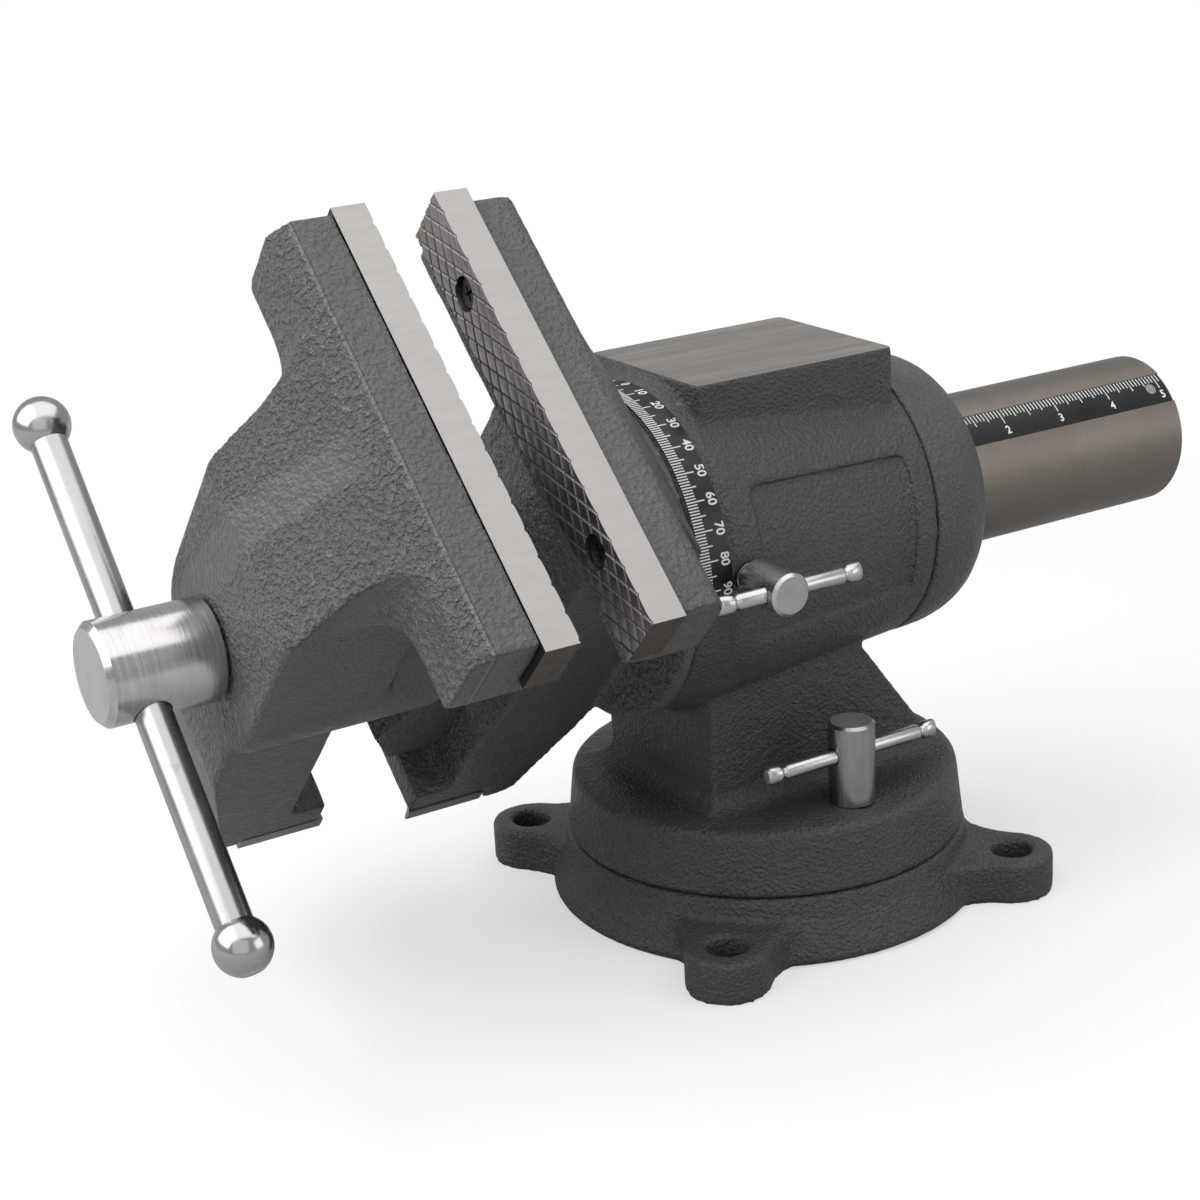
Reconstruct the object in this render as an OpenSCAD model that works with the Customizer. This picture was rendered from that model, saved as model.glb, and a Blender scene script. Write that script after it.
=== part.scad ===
/* [Slide axis] */
// Height of the slide axis above the bench
axis_h = 137.7; // [136:0.1:144]
// Turn of the jaws about the slide axis at rest, in degrees
head_turn = 43.3; // [0:0.1:60]

/* [Base] */
// Diameter of the round foot at the bench
foot_d = 159; // [154:0.5:164]
// Diameter of the base at the swivel seam
seam_d = 145; // [142:0.5:148]
// Height of the swivel seam above the bench
seam_h = 23.5; // [22.5:0.1:27]
// Thickness of the four mounting ears
ear_t = 15.5; // [13:0.1:18]
// Angle from the vise's cross axis to each ear, in degrees
ear_turn = 43.5; // [40:0.5:50]
// Radius of an ear's rounded end
ear_end_r = 14.8; // [13:0.1:17]
// Radius of the hollow between an ear and the foot
ear_hollow_r = 28; // [22:0.5:32]
// Bolt circle diameter
bolt_circle_d = 181; // [178:0.5:190]
// Bolt hole diameter
bolt_hole_d = 14.3; // [8:0.1:16]
// Diameter of the swivel's centre pilot
pilot_d = 40; // [34:0.5:44]

/* [Turntable] */
// Height of the turntable above the seam, at the middle
turntable_h = 24.2; // [22:0.1:28]
// Diameter of the turntable's rim at its top
turntable_top_d = 140.5; // [138:0.5:144]
// Distance from the swivel axis to each lock bolt
lock_reach = 54; // [52:0.5:56]
// Diameter of a lock bolt's head
lock_head_d = 16.4; // [14:0.1:18]
// Height of a lock bolt's head
lock_head_h = 29.4; // [24:0.1:34]
// Diameter of a lock bolt's shank
lock_shank_d = 12; // [10:0.5:12.5]

/* [Pedestal and anvil] */
// Width of the pedestal
pedestal_w = 67; // [60:0.5:70]
// Distance from the swivel axis to the pedestal's front
pedestal_front = 43.5; // [40:0.5:46]
// Distance from the swivel axis to the pedestal's back, at the barrel
pedestal_back = 21.3; // [18:0.1:28]
// Height of the anvil's face above the slide axis
anvil_h = 61.4; // [59:0.1:66]
// Width of the anvil
anvil_w = 66; // [58:0.5:70]
// Length of the anvil
anvil_len = 80.8; // [74:0.1:84]
// Distance from the swivel axis to the anvil's front
anvil_front = 44.4; // [42:0.1:46]

/* [Barrel] */
// Distance from the swivel axis to the barrel's front face
barrel_front = 62; // [60:0.1:64]
// Distance from the swivel axis to the barrel's rear face
barrel_back = 41.3; // [39:0.1:44]
// Diameter of the barrel behind the scale
barrel_front_d = 117.4; // [115:0.2:120]
// Diameter of the barrel at its rear face
barrel_back_d = 102.6; // [98:0.2:106]
// Diameter of the seat that carries the scale
scale_seat_d = 114; // [112:0.2:114.6]
// Width of the scale
scale_w = 12.4; // [10:0.1:12.8]
// Bore of the barrel
barrel_bore_d = 80.12; // [76:0.02:84]
// Length of the rear cap
cap_len = 28.9; // [26:0.1:34]
// Height of the jaw lock bolt above the slide axis
head_bolt_lift = 2; // [0:0.1:6]

/* [Jaws] */
// Width of the jaw castings
jaw_w = 152.8; // [140:0.2:154]
// Width of the hardened inserts
insert_w = 157.3; // [156:0.1:160]
// Height of the inserts
insert_h = 21.1; // [19:0.1:24]
// Thickness of the inserts
insert_t = 11.6; // [9:0.1:13]
// Height of the jaws' top above the slide axis
jaw_top = 110; // [108:0.1:114]
// Opening between the inserts at rest
opening = 23.1; // [22:0.1:40]
// Distance from the swivel axis to the rear jaw's insert seat
rear_seat = 116; // [114:0.1:120]
// Width of the jaws' middle
body_w = 69; // [66:0.5:72]
// Width of the front jaw's lower arm
front_arm_w = 56; // [50:0.5:62]
// Distance from the front jaw's seat to its nose
nose_len = 45.7; // [44:0.1:50]
// Thickness of the front jaw's wing
front_wing_t = 20.7; // [18:0.1:23]
// Depth of the arms' feet below the slide axis
foot_drop = 102; // [99:0.1:104]
// Thickness of the steel pads under the feet
pad_t = 5.5; // [4:0.1:7]

/* [Pipe jaws] */
// Width of the pipe jaws
pipe_w = 36; // [30:0.5:42]
// Reach of a pipe jaw from its seat
pipe_reach = 28.7; // [26:0.1:29]
// Distance from the slide axis down to a pipe jaw's crest
pipe_drop = 63.5; // [62:0.1:65]
// Number of teeth on each flank
pipe_teeth = 5; // [4:1:6]
// Depth of the teeth
tooth_depth = 1.5; // [0.8:0.1:2]

/* [Slide] */
// Diameter of the slide tube
tube_d = 56.2; // [54:0.1:58]
// Bore of the slide tube
tube_bore_d = 42; // [38:0.5:44]
// Distance from the swivel axis to the tube's rear end
tube_back = 178.4; // [176:0.1:190]
// Width of the ruler
ruler_w = 12.7; // [10:0.1:15]
// Distance from the swivel axis to the ruler's front end
ruler_front = 44; // [40:0.5:50]

/* [Spindle] */
// Diameter of the spindle's head
spindle_head_d = 34; // [30:0.5:36]
// Length of the spindle's head
spindle_head_len = 38.7; // [36:0.1:42]
// Diameter of the spindle's thread
spindle_d = 18; // [16:0.5:18.5]
// Distance from the jaw's nose to the handle
handle_reach = 25; // [22:0.1:27]
// Diameter of the handle
handle_d = 12; // [10:0.5:13]
// Diameter of the handle's balls
ball_d = 18.6; // [17:0.1:20]
// Distance between the balls' centres
handle_span = 183.8; // [170:0.2:200]
// Turn of the handle from the jaws' width at rest, in degrees
handle_turn = 3.2; // [0:0.1:8]

/* [Hidden] */
$fn = 64;

// One overrun serves every cut
cut = 1;
// Clearance of a piece on its own seat
seat_gap = 0.05;
// Clearance between flat faces that turn or slide on each other
turn_gap = 0.2;
// Clearance round a bolt or bar that is loose in its hole
loose_gap = 0.3;
// Radial clearance of a running fit
run_gap = 0.06;
// Radial clearance of a thread in its nut
thread_gap = 0.08;
// Small broken edge on a turned piece
edge = 1;

// Base: the foot's bottom edge, the pocket for the pivot washer and the slot for the lock nuts
foot_edge = 2;
foot_r = foot_d / 2;
seam_r = seam_d / 2;
foot_shoulder = 1.4;
shoulder_r = seam_r + foot_shoulder;
base_top = seam_h - turn_gap;
ear_angles = [ear_turn, 180 - ear_turn, 180 + ear_turn, 360 - ear_turn];
pilot_r = pilot_d / 2;
washer_r = 25.5;
washer_t = 3;
pivot_head_h = 4;
pivot_head_r = 9;
pivot_shank_r = 5;
pivot_depth = 24;
pivot_recess = 1;
pocket_h = pivot_recess + pivot_head_h + washer_t + turn_gap;
pocket_r = washer_r + loose_gap;
slot_floor = 5;
slot_lip = 9.5;
slot_top = seam_h - slot_lip;
slot_half = 12;
neck_half = 7.5;
nut_h = slot_top - slot_floor - turn_gap - turn_gap;
nut_w = 20;
nut_bottom = slot_floor + turn_gap;

// Turntable
turntable_top = seam_h + turntable_h;
turntable_top_r = turntable_top_d / 2;
rim_drop = 0.8;
rim_round = 3;
rim_land = 8;
lock_shank_r = lock_shank_d / 2;
lock_head_r = lock_head_d / 2;
lock_bar_lift = 17.7;
lock_bar_len = 72;
bar_r = 2.75;
bar_end_r = 3.3;
bar_end_len = 6;
bar_neck_r = 2.1;
bar_neck_len = 1.6;

// Pedestal: the sloping back, the flare at its foot and the height at which the barrel takes over
pedestal_flare = 7;
pedestal_front_draft = 1;
back_foot = 51;
back_foot_z = 53.1;
pedestal_top_z = 93.4;

// Barrel, its scale and the recessed panels on its sides
axis_to_seam = axis_h - seam_h;
scale_back = 48.5;
scale_t = 0.4;
scale_over = 1.5;
panel_from = -24;
panel_to = 31;
panel_front = 36.6;
panel_back = 31.5;
panel_depth = 0.8;
barrel_bore_r = barrel_bore_d / 2;
barrel_front_r = barrel_front_d / 2;
barrel_back_r = barrel_back_d / 2;
scale_seat_r = scale_seat_d / 2;
anvil_edge = 1;

// Jaw lock bolt
head_bolt_y = -43;
head_bolt_r = 7.2;
head_bolt_shank_r = 5;
head_bolt_stand = 3.3;
head_bolt_len = 19.5;
head_bar_lift = 13.5;
head_bolt_start = barrel_front_r + head_bolt_stand;
head_bolt_end = head_bolt_start + head_bolt_len;
head_bar_reach = head_bolt_start + head_bar_lift;
head_bar_len = 56;
head_bar_shift = 3.5;
shoe_t = 4;
shoe_r = 4.6;

// Rotating head: disc, sleeve and rear cap
sleeve_r = barrel_bore_r - run_gap;
disc_r = 57.5;
disc_t = 4.7;
sleeve_past = 20.6;
body_sink = 1;
y_barrel_front = -barrel_front;
y_disc_back = y_barrel_front - turn_gap;
y_disc_front = y_disc_back - disc_t;
y_body_back = y_disc_back - body_sink;
y_cap_front = barrel_back + turn_gap;
y_cap_back = y_cap_front + cap_len;
y_sleeve_back = barrel_back + sleeve_past;
cap_face_share = 0.7;
cap_round_share = 2.6;
cap_steps = 16;
tube_r = tube_d / 2;
tube_bore_r = tube_bore_d / 2;
head_bore_r = tube_r + run_gap;
cap_bore_r = tube_r + loose_gap;

// Jaw stations along the slide axis
hub_past = 23.3;
y_rear_seat = -rear_seat;
y_rear_face = y_rear_seat - insert_t;
y_front_face = y_rear_face - opening;
y_front_seat = y_front_face - insert_t;
y_nose = y_front_seat - nose_len;
y_front_wing = y_front_seat - front_wing_t;
y_hub_back = y_front_seat + hub_past;

// Jaw castings: the rear one's top lies below its insert's
rear_top_drop = 3;
jaw_half = jaw_w / 2;
body_half = body_w / 2;
insert_half = insert_w / 2;
insert_bottom = jaw_top - insert_h;
ledge_top = insert_bottom - seat_gap;
ledge_t = 5;
ledge_reach = 9;
wing_drop = 30;
wing_bottom = jaw_top - wing_drop;
arch_r = 25;
plan_r = 15;
nose_round = 3;
top_bevel = 7;
slope_knee_u = 54;
front_slope_out = 3;
hub_swell = 0.4;
hub_r = body_half + hub_swell;
hub_round = 4.2;
rear_wing_t = 17.5;
rear_top = jaw_top - rear_top_drop;
rear_top_round = 6;
rear_body_front = 8;
rear_slope_u = 54;

// Feet and pads
pad_top = foot_drop - pad_t;
foot_ledge = 85;
front_web = 8.7;
front_foot_reach = 4.8;
front_pad_reach = 6.1;
front_pad_len = 31.2;
front_toe_taper_u = 45;
front_toe_in = 14;
front_toe_lift = 3.5;
web_round = 3.2;
rear_arm_half = body_half;
rear_foot_reach = 9.6;
rear_pad_reach = 9;
rear_pad_len = 30;
rear_heel = 23;
rear_heel_drop = 104;
rear_heel_flat = 31;
rear_heel_back = 36;
rear_heel_rise = 3;
rear_calf = 40;
rear_thigh = 47;
rear_pad_recess = 4.5;
rear_pad_horn = 7;
pad_side = 0.3;

// Fixings of the inserts and the pads
insert_screw_at = 47.5;
insert_screw_u = jaw_top - insert_h / 2;
insert_head_r = 5.5;
insert_head_h = 4;
insert_head_sink = 1.6;
insert_shank_r = 3.4;
insert_screw_len = 18;
pad_screw_share = 0.6;
pad_head_r = 4.2;
pad_head_h = 2.4;
pad_head_sink = 0.5;
pad_shank_r = 2.5;
pad_screw_len = 14;

// Pipe jaws
pipe_half_h = 17;
pipe_flank_in = 9.3;
pipe_foot = 1.2;
rear_pipe_seat = 4;
pipe_close_gap = 1;
tooth_back_share = 0.8;

// Slide tube, ruler and nut
tube_front_gap = 8;
y_tube_front = y_nose + tube_front_gap;
ruler_t = 0.5;
ruler_gap = 0.05;
rivet_r = 2.2;
rivet_inset = 8.4;
rivet_len = 3;
rivet_proud = 0.1;
stem_w = 14;
stem_len = 30;
stem_reach = sqrt(sleeve_r * sleeve_r - stem_w * stem_w / 4) - loose_gap;
nut_y = -30;
nut_len = 40;
nut_r = tube_bore_r - loose_gap;
open_travel = 104;
close_travel = opening - turn_gap;
// The pipe jaws' crests stay just clear when the inserts close
y_front_pipe_seat = y_rear_seat + rear_pipe_seat - 2 * pipe_reach - close_travel - pipe_close_gap;

// Spindle and handle
spindle_r = spindle_d / 2;
spindle_head_r = spindle_head_d / 2;
spindle_neck_r = 9.5;
spindle_play = 0.5;
y_spindle_front = y_nose - spindle_play - spindle_head_len;
y_spindle_end = 140;
collar_r = 15;
collar_t = 8;
handle_r = handle_d / 2;
ball_r = ball_d / 2;
ball_flat_share = 0.9;
handle_shift = 3.3;
y_handle = y_nose - handle_reach;

function arc(cx, cy, r, from, to, steps = 8) =
    [for (i = [0:steps]) let (a = from + (to - from) * i / steps) [cx + r * cos(a), cy + r * sin(a)]];
function mirrored(points) =
    concat(points, [for (i = [len(points) - 1:-1:0]) [-points[i][0], points[i][1]]]);
function between(a, b, t) = a + (b - a) * t;
function barrel_r(y) =
    between(barrel_front_r, barrel_back_r, (y + scale_back) / (barrel_back + scale_back));

// Moves a shape drawn about the Z axis onto the slide axis, with Z turned to +Y
module on_slide() {
    translate([0, 0, axis_h]) rotate([-90, 0, 0]) children();
}

// Jaw frame: X across the jaws, Y along the slide, Z towards the jaws' top
module in_head() {
    translate([0, 0, axis_h]) rotate([0, head_turn, 0]) children();
}

// Extrudes an outline drawn in Y and Z across the width
module side_plate(half_w) {
    rotate([90, 0, 90]) linear_extrude(2 * half_w, center = true) children();
}

// Extrudes an outline drawn in X and Z from y0 to y1
module face_plate(y0, y1) {
    translate([0, y1, 0]) rotate([90, 0, 0]) linear_extrude(y1 - y0) children();
}

// Extrudes an outline drawn in X and Y from z0 to z1
module plan_plate(z0, z1) {
    translate([0, 0, z0]) linear_extrude(z1 - z0) children();
}

// Outline of one ear along +X: its end and the hollows that run into the body, all tangent
function ear_outline() =
    let (reach = bolt_circle_d / 2, hollow_d = seam_r + ear_hollow_r, end_d = ear_end_r + ear_hollow_r,
        turn = acos((hollow_d * hollow_d + reach * reach - end_d * end_d) / (2 * hollow_d * reach)),
        x = hollow_d * cos(turn), y = hollow_d * sin(turn), lean = atan2(y, reach - x))
    concat([[0, 0]], arc(x, -y, ear_hollow_r, 180 - turn, lean, 10),
        arc(reach, 0, ear_end_r, lean - 180, 180 - lean, 20), arc(x, y, ear_hollow_r, -lean, turn - 180, 10));

module base_plate() {
    bore_r = pilot_r + run_gap;
    color("dimgray") difference() {
        union() {
            for (a = ear_angles) rotate(a) linear_extrude(ear_t) polygon(ear_outline());
            rotate_extrude() polygon([[0, 0], [foot_r - foot_edge, 0], [foot_r, foot_edge],
                [shoulder_r, ear_t + edge], [seam_r, base_top], [0, base_top]]);
        }
        rotate_extrude() polygon([[0, -cut], [pocket_r, -cut], [pocket_r, pocket_h],
            [bore_r, pocket_h], [bore_r, base_top + cut], [0, base_top + cut]]);
        translate([0, 0, slot_floor]) difference() {
            cylinder(r = lock_reach + slot_half, h = slot_top - slot_floor);
            translate([0, 0, -cut])
                cylinder(r = lock_reach - slot_half, h = slot_top - slot_floor + 2 * cut);
        }
        translate([0, 0, slot_floor]) difference() {
            cylinder(r = lock_reach + neck_half, h = seam_h);
            translate([0, 0, -cut]) cylinder(r = lock_reach - neck_half, h = seam_h + 2 * cut);
        }
        for (a = ear_angles) rotate(a) translate([bolt_circle_d / 2, 0, -cut])
            cylinder(d = bolt_hole_d, h = ear_t + 2 * cut);
    }
}

module turntable() {
    rotate_extrude() polygon(concat([[0, pocket_h], [pilot_r, pocket_h], [pilot_r, seam_h], [seam_r, seam_h]],
        arc(turntable_top_r - rim_round, turntable_top - rim_drop - rim_round, rim_round, 0, 80, 5),
        [[turntable_top_r - rim_round - rim_land, turntable_top], [0, turntable_top]]));
}

module pedestal() {
    half = pedestal_w / 2;
    flare = pedestal_flare;
    foot = turntable_top;
    intersection() {
        side_plate(half + flare) polygon(concat(
            arc(-pedestal_front - pedestal_front_draft - flare, foot + flare, flare, 270, 360, 5),
            [[-pedestal_front, axis_h], [pedestal_back, axis_h], [pedestal_back, pedestal_top_z],
                [back_foot, back_foot_z], [back_foot + flare, foot],
                [back_foot + flare, seam_h + edge], [-pedestal_front - flare, seam_h + edge]]));
        face_plate(-seam_r, seam_r) polygon(mirrored(concat(
            [[half, axis_h]], arc(half + flare, foot + flare, flare, 180, 270, 5),
            [[half + flare, seam_h + edge]])));
        translate([0, 0, seam_h]) cylinder(r = turntable_top_r - rim_round, h = axis_to_seam);
    }
}

module barrel_blank() {
    on_slide() rotate_extrude() polygon([[0, y_barrel_front], [scale_seat_r - edge, y_barrel_front],
        [scale_seat_r, y_barrel_front + edge], [scale_seat_r, -scale_back],
        [barrel_front_r - edge, -scale_back], [barrel_front_r, edge - scale_back],
        [barrel_back_r, barrel_back], [0, barrel_back]]);
}

module side_panel() {
    on_slide() rotate(-panel_to) rotate_extrude(angle = panel_to - panel_from)
        polygon([[barrel_r(-panel_front) - panel_depth, -panel_front],
            [barrel_r(panel_back) - panel_depth, panel_back],
            [barrel_front_r + cut, panel_back], [barrel_front_r + cut, -panel_front]]);
}

module anvil() {
    top = axis_h + anvil_h;
    half = anvil_w / 2;
    back = anvil_len - anvil_front;
    intersection() {
        side_plate(half) polygon([[-anvil_front, axis_h], [-anvil_front, top - anvil_edge],
            [anvil_edge - anvil_front, top], [back - anvil_edge, top], [back, top - anvil_edge],
            [back, axis_h]]);
        face_plate(-anvil_front, back) polygon(mirrored([[half - anvil_edge, top],
            [half, top - anvil_edge], [half, axis_h]]));
    }
}

module swivel_body() {
    color("dimgray") difference() {
        union() {
            turntable();
            pedestal();
            barrel_blank();
            anvil();
        }
        on_slide() translate([0, 0, y_barrel_front - cut])
            cylinder(r = barrel_bore_r, h = barrel_front + barrel_back + 2 * cut);
        for (side = [0, 1]) mirror([side, 0, 0]) side_panel();
        for (side = [-1, 1]) translate([side * lock_reach, 0, slot_top])
            cylinder(r = lock_shank_r + loose_gap, h = turntable_top);
        translate([0, head_bolt_y, axis_h + head_bolt_lift]) rotate([0, 90, 0])
            cylinder(r = head_bolt_shank_r + thread_gap, h = head_bolt_end);
        translate([0, 0, pocket_h - cut]) cylinder(r = pivot_shank_r + seat_gap, h = pivot_depth + cut);
    }
}

module pivot_bolt() {
    color("silver") translate([0, 0, pivot_recess]) {
        cylinder(r = pivot_head_r, h = pivot_head_h, $fn = 6);
        cylinder(r = pivot_shank_r, h = pivot_head_h + washer_t + pivot_depth - edge);
    }
}

module pivot_washer() {
    color("silver") translate([0, 0, pivot_recess + pivot_head_h + seat_gap]) difference() {
        cylinder(r = washer_r, h = washer_t - seat_gap);
        translate([0, 0, -cut]) cylinder(r = pivot_shank_r + seat_gap, h = washer_t + 2 * cut);
    }
}

module lock_nut(side) {
    color("silver") translate([side * lock_reach, 0, nut_bottom]) difference() {
        translate([-nut_w / 2, -nut_w / 2, 0]) cube([nut_w, nut_w, nut_h]);
        translate([0, 0, -cut]) cylinder(r = lock_shank_r + thread_gap, h = nut_h + 2 * cut);
    }
}

// A turned bolt head with its cross hole, drawn upright from z = 0
module cross_bolt(head_r, head_h, shank_r, shank_len, hole_z) {
    difference() {
        rotate_extrude() polygon([[0, -shank_len], [shank_r - edge, -shank_len], [shank_r, edge - shank_len],
            [shank_r, 0], [head_r, 0], [head_r, head_h - edge], [head_r - edge, head_h], [0, head_h]]);
        translate([0, 0, hole_z]) rotate([90, 0, 0])
            cylinder(r = bar_r + loose_gap, h = 2 * head_r + 2 * cut, center = true);
    }
}

// A sliding bar along Y with a swaged end and a neck at each end
module cross_bar(len) {
    half = len / 2;
    neck = half - bar_end_len;
    rotate([-90, 0, 0]) for (flip = [0, 1]) mirror([0, 0, flip]) rotate_extrude()
        polygon([[0, 0], [bar_r, 0], [bar_r, neck - bar_neck_len], [bar_neck_r, neck - bar_neck_len / 2],
            [bar_neck_r, neck], [bar_end_r, neck + edge], [bar_end_r, half - edge],
            [bar_end_r - edge, half], [0, half]]);
}

module lock_bolt(side) {
    color("silver") translate([side * lock_reach, 0, turntable_top + turn_gap])
        cross_bolt(lock_head_r, lock_head_h, lock_shank_r, turntable_top - nut_bottom, lock_bar_lift);
}

module lock_bar(side) {
    color("silver") translate([side * lock_reach, 0, turntable_top + turn_gap + lock_bar_lift])
        cross_bar(lock_bar_len);
}

module angle_scale() {
    inner = scale_seat_r + seat_gap;
    color("black") on_slide() rotate(180 - scale_over) rotate_extrude(angle = 180 + 2 * scale_over)
        polygon([[inner, -scale_back - scale_w], [inner + scale_t, -scale_back - scale_w],
            [inner + scale_t, -scale_back - seat_gap], [inner, -scale_back - seat_gap]]);
}

module head_bolt() {
    shank = head_bolt_start - barrel_bore_r - shoe_t - loose_gap;
    color("silver") translate([head_bolt_start, head_bolt_y, axis_h + head_bolt_lift]) rotate([0, 90, 0])
        cross_bolt(head_bolt_r, head_bolt_len, head_bolt_shank_r, shank, head_bar_lift);
}

module head_bar() {
    color("silver") translate([head_bar_reach, head_bolt_y + head_bar_shift, axis_h + head_bolt_lift])
        cross_bar(head_bar_len);
}

module clamp_shoe() {
    color("goldenrod") translate([barrel_bore_r + seat_gap, head_bolt_y, axis_h + head_bolt_lift])
        rotate([0, 90, 0]) cylinder(r = shoe_r, h = shoe_t);
}

// Upper part of the rear jaw: wing, gusset and the middle that carries them
module rear_upper() {
    back = y_rear_seat + rear_wing_t;
    front = y_rear_seat + rear_body_front;
    low = -body_half;
    intersection() {
        side_plate(jaw_half) polygon(concat([[y_rear_seat, rear_top]],
            arc(back - rear_top_round, rear_top - rear_top_round, rear_top_round, 90, 0, 5),
            [[y_body_back, rear_slope_u], [y_body_back, low], [front, low],
                [front, wing_bottom - ledge_t], [y_rear_seat, wing_bottom],
                [y_rear_seat - ledge_reach, wing_bottom + edge], [y_rear_seat - ledge_reach, ledge_top],
                [y_rear_seat, ledge_top]]));
        face_plate(y_rear_seat - ledge_reach, y_body_back) polygon(mirrored(concat(
            [[jaw_half, rear_top], [jaw_half, wing_bottom]],
            arc(body_half + arch_r, wing_bottom - arch_r, arch_r, 90, 180), [[body_half, low]])));
        plan_plate(low, rear_top) polygon(mirrored(concat(
            [[jaw_half, y_rear_seat - ledge_reach], [jaw_half, back]],
            arc(body_half + plan_r, back + plan_r, plan_r, 270, 180), [[body_half, y_body_back]])));
    }
}

module rear_arm() {
    front = y_rear_seat + rear_body_front;
    foot = y_rear_seat - rear_foot_reach;
    web = y_rear_seat + rear_pipe_seat;
    heel = y_rear_seat + rear_heel;
    side_plate(rear_arm_half) polygon(concat(
        [[y_body_back, 0], [front, 0], [front, -body_half], [web, -pipe_drop + pipe_half_h],
            [web, -foot_ledge + web_round]],
        arc(web - web_round, web_round - foot_ledge, web_round, 0, -90, 4),
        [[foot, -foot_ledge], [foot, -pad_top], [heel, -pad_top], [heel, -rear_heel_drop],
            [y_rear_seat + rear_heel_flat, -rear_heel_drop],
            [y_rear_seat + rear_heel_back, rear_heel_rise - rear_heel_drop],
            [y_rear_seat + rear_calf, -foot_ledge], [y_rear_seat + rear_thigh, -pipe_drop],
            [y_body_back, -body_half]]));
}

module rear_jaw() {
    color("dimgray") difference() {
        union() {
            in_head() {
                rear_upper();
                rear_arm();
            }
            on_slide() translate([0, 0, y_disc_front]) cylinder(r = disc_r, h = disc_t);
            on_slide() translate([0, 0, y_disc_front]) cylinder(r = sleeve_r, h = y_sleeve_back - y_disc_front);
        }
        on_slide() translate([0, 0, y_rear_seat - cut])
            cylinder(r = head_bore_r, h = y_sleeve_back - y_rear_seat + 2 * cut);
        in_head() {
            for (side = [-1, 1]) translate([side * insert_screw_at, 0, insert_screw_u]) rotate([-90, 0, 0])
                translate([0, 0, y_rear_seat - cut])
                    cylinder(r = insert_shank_r + seat_gap, h = insert_screw_len - insert_t + 3 * cut);
            for (side = [-1, 1]) translate([side * rear_arm_half * pad_screw_share,
                y_rear_seat - rear_pad_reach + rear_pad_len / 2, -pad_top - cut])
                    cylinder(r = pad_shank_r + seat_gap, h = pad_screw_len);
            translate([-stem_w / 2 - seat_gap, nut_y, -barrel_bore_r])
                cube([stem_w + 2 * seat_gap, stem_len + seat_gap, barrel_bore_r - tube_bore_r]);
        }
    }
}

module rear_cap() {
    face_r = barrel_back_r * cap_face_share;
    drop = barrel_back_r - face_r;
    power = 2 / cap_round_share;
    color("dimgray") on_slide() rotate_extrude() polygon(concat(
        [[sleeve_r + seat_gap, y_cap_front]],
        [for (i = [0:cap_steps]) let (a = 90 * i / cap_steps)
            [face_r + drop * pow(cos(a), power), y_cap_front + cap_len * pow(sin(a), power)]],
        [[cap_bore_r, y_cap_back], [cap_bore_r, y_sleeve_back + seat_gap],
            [sleeve_r + seat_gap, y_sleeve_back + seat_gap]]));
}

// A jaw insert that faces -Y, drawn from its back face at y = 0
module insert_bar() {
    difference() {
        translate([-insert_half, -insert_t, insert_bottom])
            cube([insert_w, insert_t - seat_gap, insert_h]);
        for (side = [-1, 1]) translate([side * insert_screw_at, -insert_t, insert_screw_u])
            rotate([-90, 0, 0]) {
                translate([0, 0, -cut]) cylinder(r = insert_shank_r + seat_gap, h = insert_t + 2 * cut);
                translate([0, 0, -cut]) cylinder(r = insert_head_r + seat_gap,
                    h = insert_head_sink + insert_head_h + seat_gap + cut);
            }
    }
}

// A pan head screw for an insert that faces -Y
module insert_screw(side) {
    translate([side * insert_screw_at, insert_head_sink - insert_t, insert_screw_u]) rotate([-90, 0, 0])
        rotate_extrude() polygon([[0, 0], [insert_head_r - edge, 0], [insert_head_r, edge],
            [insert_head_r, insert_head_h], [insert_shank_r, insert_head_h],
            [insert_shank_r, insert_screw_len - insert_head_sink], [0, insert_screw_len - insert_head_sink]]);
}

module on_rear_seat() {
    in_head() translate([0, y_rear_seat, 0]) children();
}

module on_front_seat() {
    in_head() translate([0, y_front_seat, 0]) mirror([0, 1, 0]) children();
}

module rear_insert() {
    color("lightgray") on_rear_seat() insert_bar();
}

module front_insert() {
    color("lightgray") on_front_seat() insert_bar();
}

module rear_insert_screw(side) {
    color("black") on_rear_seat() insert_screw(side);
}

module front_insert_screw(side) {
    color("black") on_front_seat() insert_screw(side);
}

// A screw driven upwards into a foot, drawn at the pad's lower face
module pad_screw() {
    translate([0, 0, -foot_drop + pad_head_sink]) rotate_extrude() polygon([[0, 0], [pad_head_r, 0],
        [pad_shank_r, pad_head_h], [pad_shank_r, pad_screw_len], [0, pad_screw_len]]);
}

module pad_screw_holes(reach, y) {
    for (side = [-1, 1]) translate([side * reach, y, -foot_drop]) {
        translate([0, 0, -cut]) cylinder(r = pad_shank_r + seat_gap, h = pad_t + 2 * cut);
        translate([0, 0, -cut]) cylinder(r = pad_head_r + seat_gap, h = pad_head_sink + cut);
        translate([0, 0, pad_head_sink - seat_gap]) cylinder(r1 = pad_head_r + seat_gap,
            r2 = pad_shank_r + seat_gap, h = pad_head_h + seat_gap);
    }
}

module rear_pad() {
    half = rear_arm_half + pad_side;
    front = y_rear_seat - rear_pad_reach;
    mid = front + rear_pad_len / 2;
    color("lightgray") in_head() difference() {
        plan_plate(-foot_drop, -pad_top - seat_gap) polygon(mirrored([
            [half, front + rear_pad_len], [half, front], [half - edge, front],
            [half - rear_pad_horn, front + rear_pad_recess]]));
        pad_screw_holes(rear_arm_half * pad_screw_share, mid);
    }
}

module rear_pad_screw(side) {
    color("black") in_head() translate([side * rear_arm_half * pad_screw_share,
        y_rear_seat - rear_pad_reach + rear_pad_len / 2, 0]) pad_screw();
}

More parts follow.
